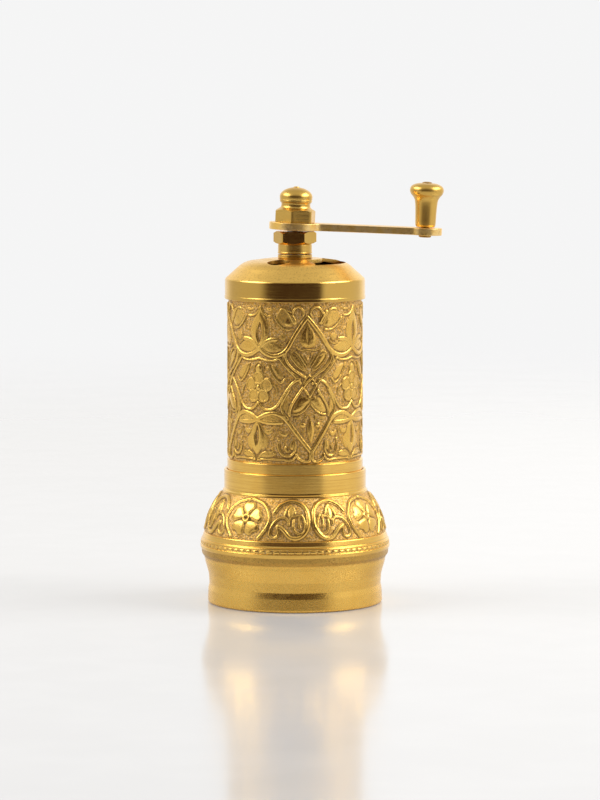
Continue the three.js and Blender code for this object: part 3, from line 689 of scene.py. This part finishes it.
def cast_brass(name):
    """Embossed casting: bright worn ridges, a gritty ground in the hollows, and brown painted shade beside the
    raised work. Where the mesh says that it was turned smooth, fine rings take the place of the grit."""
    n = MaterialNodes(name)
    relief = n.attribute("relief")
    smooth = n.attribute("smooth")
    painted_shade = n.attribute("cavity")
    cloud = n.noise(140, 4, 0.6)
    grit = n.noise(3600, 3, 0.65)
    speck = n.noise(2300, 2, 0.6)
    rings = n.noise(1.0, 3, 0.6, n.stretched(50, 50, 5200))
    rough_zone = n.maths("SUBTRACT", 1.0, smooth)
    worn = n.maths("ADD", relief, n.spread(cloud, 0.3, 0.7, -0.1, 0.1))
    worn = n.maths("ADD", worn, n.maths("MULTIPLY", n.spread(grit, 0.35, 0.65, -0.16, 0.16), rough_zone))
    ground = n.mixed(n.spread(speck, 0.38, 0.6), BRASS_DULL, BRASS_WARM)
    ground = n.mixed(n.spread(grit, 0.5, 0.64), ground, BRASS_PALE)
    high = n.mixed(n.spread(cloud, 0.3, 0.75, 0.0, 0.6), BRASS_BRIGHT, BRASS_WARM)
    streak = n.maths("MULTIPLY", n.spread(rings, 0.42, 0.7), n.maths("MULTIPLY", smooth, 0.55))
    high = n.mixed(streak, high, BRASS_DEEP)
    colour = n.mixed(n.spread(worn, 0.1, 0.6), ground, high)
    # The cavity attribute darkens the colour towards brown: painted shade beside raised work and inside the body,
    # and a darker band on the cup's lower moulding.
    colour = n.mixed(n.spread(painted_shade, 0.1, 0.9, 0.0, 0.75), colour, PATINA_AND_SHADE)
    rough = n.maths("ADD", n.spread(worn, 0.1, 0.75, 0.46, 0.25), n.maths("MULTIPLY", streak, 0.12))
    rough = n.maths("SUBTRACT", rough, n.maths("MULTIPLY", smooth, 0.1))
    hollow = n.maths("MULTIPLY", n.spread(relief, 0.15, 0.7, 1.0, 0.16), rough_zone)
    normal = n.bump(n.maths("MULTIPLY", grit, hollow), 0.14, 0.9)
    normal = n.bump(n.maths("MULTIPLY", speck, hollow), 0.12, 0.7, normal)
    normal = n.bump(n.noise(900, 3, 0.6), 0.012, 0.3, normal)
    normal = n.bump(n.maths("MULTIPLY", rings, smooth), 0.008, 0.6, normal)
    return n.finish(colour, rough, normal)


def cut_edge_brass(name):
    """Brass strip with a matt, slightly grainy skin, as it is left by shearing and tumbling."""
    n = MaterialNodes(name)
    cloud = n.noise(260, 4, 0.6)
    grain_field = n.noise(2600, 3, 0.6)
    stain = n.noise(700, 3, 0.6)
    colour = n.mixed(n.spread(cloud, 0.3, 0.72), BRASS_PALE, BRASS_BRIGHT)
    colour = n.mixed(n.spread(stain, 0.52, 0.75, 0.0, 0.5), colour, BRASS_DEEP)
    rough = n.spread(grain_field, 0.3, 0.7, 0.3, 0.45)
    normal = n.bump(grain_field, 0.05, 0.5)
    return n.finish(colour, rough, normal)


def steel(name, colour, roughness, ring_strength):
    n = MaterialNodes(name)
    cloud = n.noise(160, 3, 0.6)
    rings = n.noise(1.0, 2, 0.5, n.stretched(80, 80, 7000))
    darker = tuple(c * 0.7 for c in colour[:3]) + (1,)
    tint = n.mixed(n.spread(cloud, 0.3, 0.7), colour, darker)
    rough = n.spread(cloud, 0.3, 0.7, roughness * 0.85, roughness * 1.3)
    return n.finish(tint, rough, n.bump(rings, 0.004, ring_strength))


POLISHED = turned_brass("polished_brass", 0.17, 0.25, 0.35, BRASS_GOLD, BRASS_RICH)
CAP_BRASS = turned_brass("cap_brass", 0.18, 0.25, 0.35, BRASS_GOLD, BRASS_RICH, satin_above=84.3)
FITTING = turned_brass("fitting_brass", 0.31, 0.25, 0.45, BRASS_GOLD, BRASS_RICH)
DULL = turned_brass("dull_brass", 0.42, 0.8, 1.0, BRASS_DEEP, PATINA_AND_SHADE)
CUT_EDGE = cut_edge_brass("cut_edge_brass")
CAST = cast_brass("cast_brass")
STEEL = steel("turned_steel", (0.56, 0.55, 0.53, 1), 0.32, 0.6)
BURR = steel("burr_steel", (0.2, 0.2, 0.205, 1), 0.42, 0.3)
SPRING = steel("spring_steel", (0.42, 0.42, 0.43, 1), 0.28, 0.1)

# --- The body ---

BODY_SEGMENTS = 640
BODY_ROW = 0.21


def across_from(axis_turn, segments, radius):
    """Distance round the part from the nearest pattern axis, for every column of a turned grid."""
    angle = angles_round(segments)
    from_axis = angle + QUARTER - axis_turn
    return ((from_axis + QUARTER / 2) % QUARTER - QUARTER / 2) * radius


def body_pattern(heights):
    quarter = BODY_SEGMENTS // REPEATS
    across, up = np.meshgrid(across_from(PATTERN_TURN, BODY_SEGMENTS, BODY_R)[:quarter], heights)
    lean = LEAN * np.cos(2 * math.pi * across / REPEAT) * (up - CROSSING_HEIGHT)
    sheet = Sheet(across + lean, up, REPEAT)
    draw_upper_field(sheet)
    draw_flower_cell(sheet)
    draw_lower_field(sheet)
    draw_inside_frame(sheet)
    draw_frame(sheet)
    return np.tile(sheet.height, (1, REPEATS))


def make_body():
    rows = int((PATTERN_HIGH - PATTERN_LOW) / BODY_ROW)
    heights = np.linspace(PATTERN_LOW, PATTERN_HIGH, rows)
    relief = body_pattern(heights)
    shown = np.clip(relief / RAISED, 0, 1)
    # Painted shade: the ground beside raised work is marked for darkening.
    painted_shade = cavity(relief)
    relief = relief + grain(relief.shape, GRAIN, SEED, (1, 2)) * (1 - 0.8 * shown)
    lower = rounded(
        [(BODY_BORE, BODY_BOTTOM, 0.15), (BODY_R - 0.02, BODY_BOTTOM, 0.3), (BODY_R - 0.02, 37.55, 0.2),
         (GROUND_R, 37.75, 0.1), (GROUND_R, PATTERN_LOW, 0)],
        closed=False,
    )
    upper = rounded(
        [(GROUND_R, PATTERN_HIGH, 0), (GROUND_R, BODY_TOP, 0.25), (16.35, BODY_TOP, 0.15),
         (16.35, BODY_TOP - 1.2, 0.1), (14.6, BODY_TOP - 1.2, 0.1), (14.6, 50.05, 0.1), (BODY_BORE, 50.05, 0.1),
         (BODY_BORE, BODY_BOTTOM, 0)],
        closed=False,
    )
    pattern = np.stack([np.full(rows, GROUND_R), heights], 1)
    profile = np.vstack([lower[:-1], pattern, upper[1:-1]])
    push = np.zeros((len(profile), BODY_SEGMENTS))
    start = len(lower) - 1
    push[start : start + rows] = relief
    shade = np.ones_like(push)
    shade[start : start + rows] = shown
    shade[profile[:, 0] < 16.5] = 0.25
    shade[profile[:, 1] > PATTERN_HIGH] = 0.1
    smooth = np.zeros_like(push)
    smooth[: start - 1] = 1
    hollow = np.zeros_like(push)
    # The cavity attribute carries the painted shade to the material.
    hollow[start : start + rows] = painted_shade
    # The inside of the body is painted dark all over, as painted shade.
    hollow[profile[:, 0] < 16.5] = 0.6
    body = turned("body_shell_cast", profile, BODY_SEGMENTS, push=push)
    store(body, "relief", shade)
    store(body, "smooth", smooth)
    store(body, "cavity", hollow)
    place(body, "mill", "cast_brass", CAST, "body_shell")


# --- The cup ---

CUP_SEGMENTS = 640
CUP_ROW = 0.22
HALF_BAND = BAND_REFERENCE_R * QUARTER / 2
ROPE_LOW = 15.45
ROPE_HIGH = 16.2
ROPE_BEADS = 80


def rope_beads(rows):
    """Outward offsets of a row of small beads round the cup."""
    angle = angles_round(CUP_SEGMENTS)
    across = np.abs(np.sin(ROPE_BEADS / 2 * angle))
    up = np.sin(np.linspace(0.1, math.pi - 0.1, rows))
    return 0.28 * np.sqrt(across)[None, :] * np.sqrt(up)[:, None] - 0.05


def draw_band(sheet):
    """Half a repeat: a rosette in its arch, then a scroll with a bud and a pear-shaped leaf."""
    middle = sheet.level(24.0)
    lobe = [(1.2, -16), (2.7, -33), (4.0, -31), (4.75, -15), (4.4, 0), (4.75, 15), (4.0, 31), (2.7, 33), (1.2, 16)]
    for k in range(5):
        turns = [(r, math.radians(90 + 72 * k + a)) for r, a in lobe]
        sheet.petal([(r * math.cos(a), middle + r * math.sin(a)) for r, a in turns], 0.34, edge=0.75)
    eye = circle(0, middle, 0.85, np.arange(9) * math.pi / 4)
    sheet.line(eye, 0.42, 0.48)
    lines = [
        ([(0.4, 28.6), (3.8, 27.8), (5.7, 26.2), (6.5, 24.2), (6.2, 22.4), (5.1, 20.6), (3.9, 19.0)], 0.42, 0.42),
        ([(7.7, 25.6), (8.9, 27.2), (11.0, 28.2), (13.2, 28.3), (15.1, 27.6), (16.3, 26.1), (16.6, 24.1),
          (16.3, 22.0), (15.2, 20.2), (13.6, 19.3), (12.0, 19.6), (10.8, 20.9), (9.9, 21.8), (8.9, 22.3)],
         0.55, 0.46),
        ([(7.0, 21.1), (7.3, 22.2), (8.1, 23.5), (9.3, 24.3), (10.5, 24.4), (11.4, 23.8), (11.7, 22.7)],
         0.34, 0.4),
        ([(8.9, 21.8), (9.1, 20.7), (8.7, 19.7), (7.8, 19.4), (7.0, 20.0), (7.0, 21.0)], 0.34, 0.38),
        ([(10.5, 25.0), (11.0, 26.4), (11.9, 27.4)], 0.28, 0.36),
        ([(12.1, 27.4), (12.9, 26.5), (13.3, 25.3)], 0.28, 0.36),
        ([(11.7, 23.6), (12.8, 24.6), (14.2, 25.0)], 0.28, 0.32),
        ([(12.8, 23.9), (12.8, 22.2), (13.4, 20.9), (14.5, 20.4), (15.4, 21.0), (15.7, 22.3), (15.5, 23.9),
          (14.8, 25.2)], 0.32, 0.38),
        ([(14.4, 25.0), (14.1, 23.6), (14.3, 22.0)], 0.28, 0.3),
    ]
    for points, half, height in lines:
        sheet.line([(x, sheet.level(z)) for x, z in points], half, height)
    bud = mirrored([(12.1, 27.2), (12.85, 26.1), (12.8, 24.9), (12.1, 24.0)], 12.1)
    sheet.petal([(x, sheet.level(z)) for x, z in bud], 0.34, edge=0.8)


def cup_outline():
    """The cup's outer profile through the ornamental band, from low to high."""
    return smooth_curve(
        [(24.0, 17.4), (23.72, 18.6), (23.35, 20.2), (23.05, 21.6), (22.5, 23.2), (21.7, 25.0), (20.6, 26.8),
         (19.4, 28.4), (18.75, 29.4)],
        per_span=40,
    )


def make_cup():
    outline = cup_outline()
    run = np.concatenate([[0], np.cumsum(np.hypot(*np.diff(outline, axis=0).T))])
    low = np.interp(BAND_LOW, outline[:, 1], run)
    high = np.interp(BAND_HIGH, outline[:, 1], run)
    rows = int((high - low) / CUP_ROW)
    steps = np.linspace(low, high, rows)
    band = np.stack([np.interp(steps, run, outline[:, 0]) - 0.2, np.interp(steps, run, outline[:, 1])], 1)
    columns = across_from(BAND_TURN, CUP_SEGMENTS, BAND_REFERENCE_R)[: CUP_SEGMENTS // REPEATS]
    across, up = np.meshgrid(columns, steps)
    sheet = Sheet(across, up, 2 * HALF_BAND)
    sheet.level = lambda z: float(np.interp(z, outline[:, 1], run))
    draw_band(sheet)
    relief = np.tile(sheet.height, (1, REPEATS))
    shown = np.clip(relief / RAISED, 0, 1)
    # Painted shade: the ground beside raised work is marked for darkening.
    painted_shade = cavity(relief)
    relief = relief + grain(relief.shape, GRAIN, SEED + 1, (1, 2)) * (1 - 0.8 * shown)
    lower = rounded(
        [(21.4, 0.03, 0.1), (22.75, 0.03, 0.6), (22.6, 3.5, 0.8), (22.3, 5, 1), (22.5, 7.6, 1), (23.1, 9.7, 0.6),
         (23.4, 10.8, 0.3), (23.5, 11.6, 0.3), (23.75, 12.2, 0.2), (24.25, 12.9, 0.3), (24.35, 14.1, 0.2),
         (24.6, 14.5, 0.25), (24.68, 15.2, 0.15), (24.4, 15.35, 0.1), (24.38, 16.3, 0.1), (24.5, 16.45, 0.1),
         (24.35, 16.85, 0.15), (24.05, 16.95, 0.1), (24.08, 17.3, 0.2), (23.75, 18.4, 0.3), (23.45, 18.5, 0.1),
         tuple(band[0]) + (0,)],
        closed=False,
    )
    upper = rounded(
        [tuple(band[-1]) + (0,), (18.85, 29.15, 0.15), (18.8, 29.5, 0.2), (18.5, 29.75, 0.2),
         (COLLAR_R - 0.02, 30.1, 0.2), (COLLAR_R - 0.02, COLLAR_TOP, 0.22), (17.78, COLLAR_TOP, 0.15),
         (17.75, BODY_BOTTOM, 0.1), (16.4, BODY_BOTTOM, 0.15), (16.4, 28.6, 0.4), (18.6, 26.6, 1), (20.6, 23.4, 2),
         (21.7, 16, 3), (20.2, 6, 2), (20.2, 1.25, 0.1), (21.4, 1.25, 0.1), (21.4, 0.03, 0)],
        closed=False,
    )
    rope = np.stack([np.full(7, 24.38), np.linspace(ROPE_LOW, ROPE_HIGH, 7)], 1)
    split = int(np.argmax(lower[:, 1] > ROPE_LOW - 0.02))
    after = int(np.argmax((lower[:, 1] > ROPE_HIGH) & (np.arange(len(lower)) > split)))
    lower = np.vstack([lower[:split], rope, lower[after:]])
    profile = np.vstack([lower[:-1], band, upper[1:-1]])
    push = np.zeros((len(profile), CUP_SEGMENTS))
    start = len(lower) - 1
    push[start : start + rows] = relief
    push[split : split + len(rope)] = rope_beads(len(rope))
    shade = np.ones_like(push)
    shade[start : start + rows] = shown
    height = profile[:, 1]
    outside = np.arange(len(profile)) < start
    shade[(height > 11.9) & (height < 14.3) & outside] = 0.45
    shade[(height < 11.9) & outside] = 0.6
    shade[split : split + len(rope)] = np.clip(0.15 + push[split : split + len(rope)] / 0.3, 0, 1)
    shade[(profile[:, 0] < 17.8) | ((height < 28) & (np.arange(len(profile)) >= start + rows))] = 0.3
    smooth = np.zeros_like(push)
    smooth[(height > 28.95) & (profile[:, 0] > 17.8)] = 1
    smooth[(height > 14.3) & (height < 18.45) & outside] = 0.6
    hollow = np.zeros_like(push)
    # The cavity attribute carries the painted shade to the material.
    hollow[start : start + rows] = painted_shade
    # The band of the lower moulding is marked to be coloured darker all over.
    hollow[(height > 12.0) & (height < 14.2) & outside] = 0.5
    cup = turned("cup_cast", profile, CUP_SEGMENTS, push=push)
    store(cup, "relief", shade)
    store(cup, "smooth", smooth)
    store(cup, "cavity", hollow)
    place(cup, "base", "cast_brass", CAST, "base_cup")


# --- Cap, collar, nuts and crank ---


def make_cap():
    skirt = CAP_R - 0.07
    outside = rounded(
        [(17.3, CAP_BOTTOM, 0.1), (CAP_R, CAP_BOTTOM, 0.15), (CAP_R, CAP_BOTTOM + 0.8, 0.15),
         (skirt, CAP_BOTTOM + 1.0, 0.15), (skirt, 84.2, 0.9), (13.3, 88.62, 6.0), (6.8, CAP_TOP - 0.02, 3.0),
         (4.0, CAP_TOP - 0.02, 0.15), (4.0, 88.5, 0.1)],
        steps=9,
        closed=False,
    )
    inside = smooth_curve(
        [(4.0, 88.5), (7.6, 88.45), (9.8, 88.15), (12.2, 87.5), (14.0, 86.6), (15.2, 85.6), (15.75, 84.6)],
        per_span=6,
    )
    seat = rounded(
        [tuple(inside[-1]) + (0,), (15.8, BODY_TOP + 0.06, 0.1), (17.3, BODY_TOP + 0.06, 0.1),
         (17.3, CAP_BOTTOM, 0)],
        closed=False,
    )
    profile = np.vstack([outside[:-1], inside[:-1], seat[:-1]])
    cap = turned("cap_turned", profile, 256)
    cut_away(cap, opening_cutters(), 80.0, 95.0)
    add_bevel(cap, 0.12, 2, 50)
    place(cap, "cap", "polished_brass", CAP_BRASS, "dome_cap")


OPENING_INNER_R = 7.1
OPENING_OUTER_R = 13.1


def opening_cutters():
    """The long and the round opening that beans are poured through, seen from above."""
    start = math.radians(-66)
    end = math.radians(26)
    outer = [(OPENING_OUTER_R, a) for a in np.linspace(start, end, 40)]
    inner = [(OPENING_INNER_R, a) for a in np.linspace(end, start, 30)]
    long_opening = [(r * math.cos(a), r * math.sin(a)) for r, a in outer + inner]
    middle = (OPENING_INNER_R + OPENING_OUTER_R) / 2
    radius = (OPENING_OUTER_R - OPENING_INNER_R) / 2
    turn = math.radians(-114)
    centre = (middle * math.cos(turn), middle * math.sin(turn))
    return [long_opening, circle(*centre, radius, np.linspace(0, 2 * math.pi, 48)[:-1])]


def prism(name, outline, bottom, top):
    count = len(outline)
    points = [(x, y, bottom) for x, y in outline] + [(x, y, top) for x, y in outline]
    faces = [list(range(count))[::-1], list(range(count, 2 * count))]
    faces += [[i, (i + 1) % count, count + (i + 1) % count, count + i] for i in range(count)]
    return make_object(name, points, faces)


def apply_modifiers(obj):
    graph = bpy.context.evaluated_depsgraph_get()
    mesh = bpy.data.meshes.new_from_object(obj.evaluated_get(graph))
    obj.modifiers.clear()
    obj.data = mesh


def cut_away(obj, outlines, bottom, top):
    """Cuts an upright prism of each outline out of a piece."""
    for outline in outlines:
        cutter = prism("cutter", outline, bottom, top)
        modifier = obj.modifiers.new("cut", "BOOLEAN")
        modifier.object = cutter
        modifier.operation = "DIFFERENCE"
        modifier.solver = "EXACT"
        bpy.context.view_layer.update()
        apply_modifiers(obj)
        bpy.data.objects.remove(cutter)
    obj.data.shade_smooth()


def crank_matrix(reach=0.0):
    """Places a piece drawn level round the arm's middle plane."""
    tilt = Matrix.Rotation(ARM_DROOP, 4, "Y")
    return Matrix.Translation((0, 0, ARM_Z * MM)) @ tilt @ Matrix.Translation((reach * MM, 0, 0))


BLIND_BORE_DEPTH = 5.6  # how far the thread runs up into a crowned nut


def hexagon(name, corner_r, turn, bottom, top, bore, chamfer_bottom, matrix=None, crown=None):
    """A hexagon nut. Its corners are cut by a 30 degree cone, so every flat ends in an arc.
    crown is a turned profile (r, z) that carries on from the flat top instead of a bore."""
    per_side = 16
    segments = 6 * per_side
    across = corner_r * math.cos(math.pi / 6)
    angle = angles_round(segments)
    local = (angle - turn) % (math.pi / 3) - math.pi / 6
    reach = np.minimum(across / np.cos(local), corner_r - 0.07)
    drop = np.maximum(reach - across, 0) * math.tan(math.radians(32))
    rows = []

    def ring(radius, z):
        rows.append(np.stack([radius * np.cos(angle), radius * np.sin(angle), np.broadcast_to(z, angle.shape)], -1))

    ring(np.full(segments, bore), bottom)
    ring(np.full(segments, across - 0.25), bottom)
    ring(np.minimum(reach, across - 0.02), bottom)
    ring(reach, bottom + (drop if chamfer_bottom else 0) + 0.02)
    ring(reach, top - drop - 0.02)
    ring(np.minimum(reach, across - 0.02), top)
    if crown is None:
        ring(np.full(segments, across - 0.25), top)
        ring(np.full(segments, bore), top)
        close = True
    else:
        for r, z in crown[:-1]:
            ring(np.full(segments, r), z)
        close = False
    points = np.concatenate(rows)
    faces = grid_faces(len(rows), segments, close).tolist()
    if crown is not None:
        points = np.vstack([points, [[0, 0, crown[-1][1]]]])
        tip = len(points) - 1
        last = (len(rows) - 1) * segments
        faces += [[tip, last + i, last + (i + 1) % segments] for i in range(segments)]
        floor = bottom + BLIND_BORE_DEPTH
        inner = len(points)
        deep = np.stack([bore * np.cos(angle), bore * np.sin(angle), np.full(segments, floor)], -1)
        points = np.vstack([points, deep, [[0, 0, floor + 0.6]]])
        for i in range(segments):
            j = (i + 1) % segments
            faces.append([i, inner + i, inner + j, j])
            faces.append([inner + i, inner + segments, inner + j])
    nut = make_object(name, points, faces, matrix)
    nut.data.set_sharp_from_angle(angle=math.radians(24))
    return nut


def make_shaft_stack():
    ring = rounded([(3.3, 89.6, 0.05), (4.45, 89.6, 0.12), (4.45, 90.5, 0.12), (3.3, 90.5, 0.05)])
    place(turned("cap_ring", ring, 128), "mill", "turned_brass", FITTING, "cap_retaining_ring")
    collar = rounded(
        [(2.06, 90.73, 0.05), (4.45, 90.73, 0.14), (4.45, 91.1, 0.1), (4.38, 91.2, 0.05), (4.38, 92.9, 0.1),
         (4.3, 93.32, 0.15), (2.06, 93.32, 0.05)]
    )
    place(turned("collar_turned", collar, 128), "crank", "turned_brass", FITTING, "shaft_collar")
    nut = hexagon("jam_nut_hex", 5.65, math.radians(-5), 93.36, 96.49, 2.06, True)
    place(nut, "crank", "turned_brass", POLISHED, "jam_nut")


def make_cap_nut():
    top = 4.1
    neck = smooth_curve([(4.7, top), (4.35, 4.3), (3.95, 4.6), (3.77, 5.0), (3.73, 5.4), (3.8, 5.75), (4.02, 6.0)])
    lip = [(4.13, 6.12), (4.16, 6.3), (4.16, 6.5), (4.12, 6.6), (4.17, 6.72)]
    ball = [(4.25 * math.cos(a), 7.35 + 2.5 * math.sin(a)) for a in np.radians(np.arange(-8, 82, 6))]
    nub = [(0.75, 9.86), (0.66, 10.0), (0.35, 10.07), (0.0, 10.09)]
    crown = [tuple(p) for p in neck] + lip + ball + nub
    nut = hexagon("cap_nut_ball", 5.5, math.radians(-101), 0.81, top, 2.4, False, crank_matrix(), crown)
    place(nut, "crank", "polished_brass", FITTING, "cap_nut")


def arm_outline():
    """Hub disc, strip and tip disc, with small fillets where they meet. Anticlockwise from above."""
    hub = 6.65
    tip = 4.35
    half = 3.1
    blend = 2.5
    upper = []
    hub_x = math.sqrt((hub + blend) ** 2 - (half + blend) ** 2)
    hub_end = math.atan2(half + blend, hub_x)
    tip_x = ARM_REACH - math.sqrt((tip + blend) ** 2 - (half + blend) ** 2)
    tip_end = math.atan2(half + blend, tip_x - ARM_REACH)
    for a in np.linspace(tip_end, 0, 22, endpoint=True):
        upper.append((ARM_REACH + tip * math.cos(a), tip * math.sin(a)))
    upper = upper[::-1]
    for a in np.linspace(tip_end - math.pi, -QUARTER, 8):
        upper.append((tip_x + blend * math.cos(a), half + blend + blend * math.sin(a)))
    for a in np.linspace(-QUARTER, hub_end - math.pi, 8):
        upper.append((hub_x + blend * math.cos(a), half + blend + blend * math.sin(a)))
    for a in np.linspace(hub_end, math.pi, 40):
        upper.append((hub * math.cos(a), hub * math.sin(a)))
    lower = [(x, -y) for x, y in upper[-2:0:-1]]
    return upper + lower


def make_arm():
    outline = arm_outline()
    arm = prism("crank_arm_bar", outline, ARM_BOTTOM + 0.01, ARM_TOP - 0.01)
    round_hole = np.linspace(0, 2 * math.pi, 49)[:-1]
    holes = ((0.0, SHAFT_HOLE_R), (ARM_REACH, PIN_HOLE_R))
    cut_away(arm, [circle(x, 0, radius, round_hole) for x, radius in holes], -2, 2)
    arm.data.transform(crank_matrix())
    add_bevel(arm, 0.14, 3, 40)
    place(arm, "crank", "turned_brass", CUT_EDGE, "crank_arm")


def make_grip():
    bottom = ARM_TOP + 0.2
    top = 12.33
    stem = rounded(
        [(1.23, top, 0), (1.23, bottom, 0.1), (2.35, bottom, 0.3), (2.62, bottom + 0.5, 0.3),
         (2.67, bottom + 1.2, 0)],
        closed=False,
    )
    flare = smooth_curve(
        [(2.67, bottom + 1.2), (2.72, 4.0), (2.79, 5.7), (2.9, 7.0), (3.08, 8.0), (3.5, 8.75), (4.05, 9.4),
         (4.345, 10.1), (4.365, 10.7), (4.1, 11.35), (3.45, 11.85), (2.5, 12.18), (1.6, 12.3), (1.23, top)],
        per_span=5,
    )
    grip = turned("grip_turned", np.vstack([stem[1:-1], flare]), 128, crank_matrix(ARM_REACH))
    place(grip, "handle", "polished_brass", FITTING, "grip")
    head = ARM_BOTTOM - 0.64
    pin = rounded(
        [(0, head), (1.4, head, 0.2), (1.62, head + 0.2, 0.15), (1.62, ARM_BOTTOM - 0.04, 0.1),
         (1.15, ARM_BOTTOM - 0.04, 0.05), (1.15, top + 0.03, 0.1), (1.35, top + 0.03, 0.1), (1.1, top + 0.2, 0.15),
         (0.6, top + 0.32, 0.3), (0, top + 0.35)],
        closed=False,
    )
    place(turned("grip_rivet", pin, 96, crank_matrix(ARM_REACH)), "crank", "turned_brass", DULL, "grip_pin")


# --- Inner pieces keep their CAD shapes and take real finishes ---


def finish_inner_pieces():
    finishes = {
        STEEL: ["drive_shaft", "cone_nut", "spring_washer", "thrust_ball", "bridge_screw_1", "bridge_screw_2",
                "bridge_screw_3"],
        BURR: ["ring_burr", "cone_burr"],
        SPRING: ["shaft_clip", "pressure_spring"],
        DULL: ["base_floor_plate", "top_plate", "upper_bush", "bush_nut", "lower_bridge", "adjusting_screw"],
    }
    for material, nodes in finishes.items():
        for node in nodes:
            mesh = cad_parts[node].data
            mesh.materials.clear()
            mesh.materials.append(material)


# --- Room, light and camera ---

CAMERA_DISTANCE = 1.0
CAMERA_HEIGHT = 0.148
CAMERA_SIDE = 0.0013
CAMERA_PITCH = math.radians(5.45)
CAMERA_LENS = 173.97
LIT_POINT = (0, 0, 0.06)  # metres; every lamp is aimed at it
SOFTBOX_SIZE = (0.45, 0.3)
WALL_SIZE = (0.7, 0.45)
FLOOR_RADIUS = 900
FLOOR_Z = -0.05  # just below the foot, so that the two share no plane
FLOOR_GLOW = 0.08  # stands for the light that the white table passes on from below
FLOOR_FRONT = 300  # how far the pale table reaches towards the camera before the dark room begins


def make_floor():
    """A pale glossy table that fades out, so that no edge or horizon shows."""
    n = MaterialNodes("floor_gloss")
    cloud = n.noise(30, 2)
    colour = n.mixed(n.spread(cloud, 0.3, 0.7), (0.55, 0.55, 0.555, 1), (0.57, 0.57, 0.575, 1))
    material = n.finish(colour, n.spread(cloud, 0.3, 0.7, 0.12, 0.16), None, 0.0)
    split = n.add("ShaderNodeSeparateXYZ")
    n.link(n.place, split.inputs[0])
    flat = n.add("ShaderNodeCombineXYZ")
    n.link(split.outputs[0], flat.inputs[0])
    n.link(split.outputs[1], flat.inputs[1])
    length = n.add("ShaderNodeVectorMath", operation="LENGTH")
    n.link(flat.outputs[0], length.inputs[0])
    edge = n.spread(length.outputs["Value"], 0.35 * FLOOR_RADIUS * MM, 0.95 * FLOOR_RADIUS * MM, 1.0, 0.0)
    front = n.spread(split.outputs[1], -1.35 * FLOOR_FRONT * MM, -FLOOR_FRONT * MM, 0.0, 1.0)
    n.link(n.maths("MULTIPLY", edge, front), n.shader.inputs["Alpha"])
    n.shader.inputs["Specular IOR Level"].default_value = 0.25
    n.shader.inputs["Emission Color"].default_value = (1, 1, 1, 1)
    n.shader.inputs["Emission Strength"].default_value = FLOOR_GLOW
    corners = ((-1, -1), (1, -1), (1, 1), (-1, 1))
    floor = make_object("floor", [(x * FLOOR_RADIUS, y * FLOOR_RADIUS, FLOOR_Z) for x, y in corners], [[0, 1, 2, 3]])
    floor.data.materials.append(material)


def make_world():
    """A white room with a dark side in front of the object, where the camera stands."""
    world = bpy.data.worlds.new("studio")
    bpy.context.scene.world = world
    world.use_nodes = True
    n = Nodes(world.node_tree)
    way = n.add("ShaderNodeSeparateXYZ")
    n.link(n.add("ShaderNodeTexCoord").outputs["Generated"], way.inputs[0])
    x, y, z = way.outputs
    turn = n.maths("ARCTAN2", x, n.maths("MULTIPLY", y, -1.0))
    other = n.maths("MULTIPLY", turn, -1.0)
    right = n.spread(turn, math.radians(40), math.radians(52), 0.0, 0.74)
    left = n.spread(other, math.radians(42), math.radians(64), 0.0, 0.59)
    back = n.spread(n.maths("ABSOLUTE", turn), math.radians(122), math.radians(150), 0.0, 0.4)
    level = n.maths("ADD", n.maths("ADD", right, left), n.maths("ADD", back, 0.052))
    overhead = n.spread(z, 0.35, 0.85)
    low = n.maths("MULTIPLY", level, n.maths("SUBTRACT", 1.0, overhead))
    strength = n.maths("ADD", low, n.maths("MULTIPLY", overhead, 0.6))
    room = n.tree.nodes["Background"]
    tone = n.mixed(n.spread(strength, 0.06, 0.3), (1.0, 0.58, 0.5, 1), (1.0, 0.985, 0.96, 1))
    n.link(tone, room.inputs["Color"])
    n.link(strength, room.inputs["Strength"])
    backdrop = n.add("ShaderNodeBackground")
    backdrop.inputs["Color"].default_value = (0.915, 0.915, 0.915, 1)
    both = n.add("ShaderNodeMixShader")
    n.link(n.add("ShaderNodeLightPath").outputs["Is Camera Ray"], both.inputs[0])
    n.link(room.outputs[0], both.inputs[1])
    n.link(backdrop.outputs[0], both.inputs[2])
    n.link(both.outputs[0], n.tree.nodes["World Output"].inputs["Surface"])


def area_light(name, location, size, power):
    light = bpy.data.lights.new(name, "AREA")
    light.shape = "RECTANGLE"
    light.size, light.size_y = size
    light.energy = power
    obj = bpy.data.objects.new(name, light)
    way = Vector(location) - Vector(LIT_POINT)
    obj.matrix_world = Matrix.Translation(location) @ way.to_track_quat("Z", "Y").to_matrix().to_4x4()
    bpy.context.scene.collection.objects.link(obj)


def make_lights():
    area_light("left_softbox", (-0.66, -0.36, 0.55), SOFTBOX_SIZE, 0.5)
    area_light("right_softbox", (0.7, -0.38, 0.55), SOFTBOX_SIZE, 0.7)
    area_light("left_wall", (-0.8, -0.05, 0.7), WALL_SIZE, 4.6)
    area_light("right_wall", (0.8, -0.05, 0.7), WALL_SIZE, 6.0)


def make_camera():
    data = bpy.data.cameras.new("camera")
    data.lens = CAMERA_LENS
    data.sensor_width = 36
    data.clip_start = 0.05
    data.clip_end = 50
    camera = bpy.data.objects.new("camera", data)
    camera.location = (CAMERA_SIDE, -CAMERA_DISTANCE, CAMERA_HEIGHT)
    camera.rotation_euler = (QUARTER - CAMERA_PITCH, 0, 0)
    bpy.context.scene.collection.objects.link(camera)
    bpy.context.scene.camera = camera
    bpy.context.scene.view_settings.view_transform = "Standard"


make_body()
make_cup()
make_cap()
make_shaft_stack()
make_cap_nut()
make_arm()
make_grip()
finish_inner_pieces()
make_floor()
make_world()
make_lights()
make_camera()

bpy.context.view_layer.update()
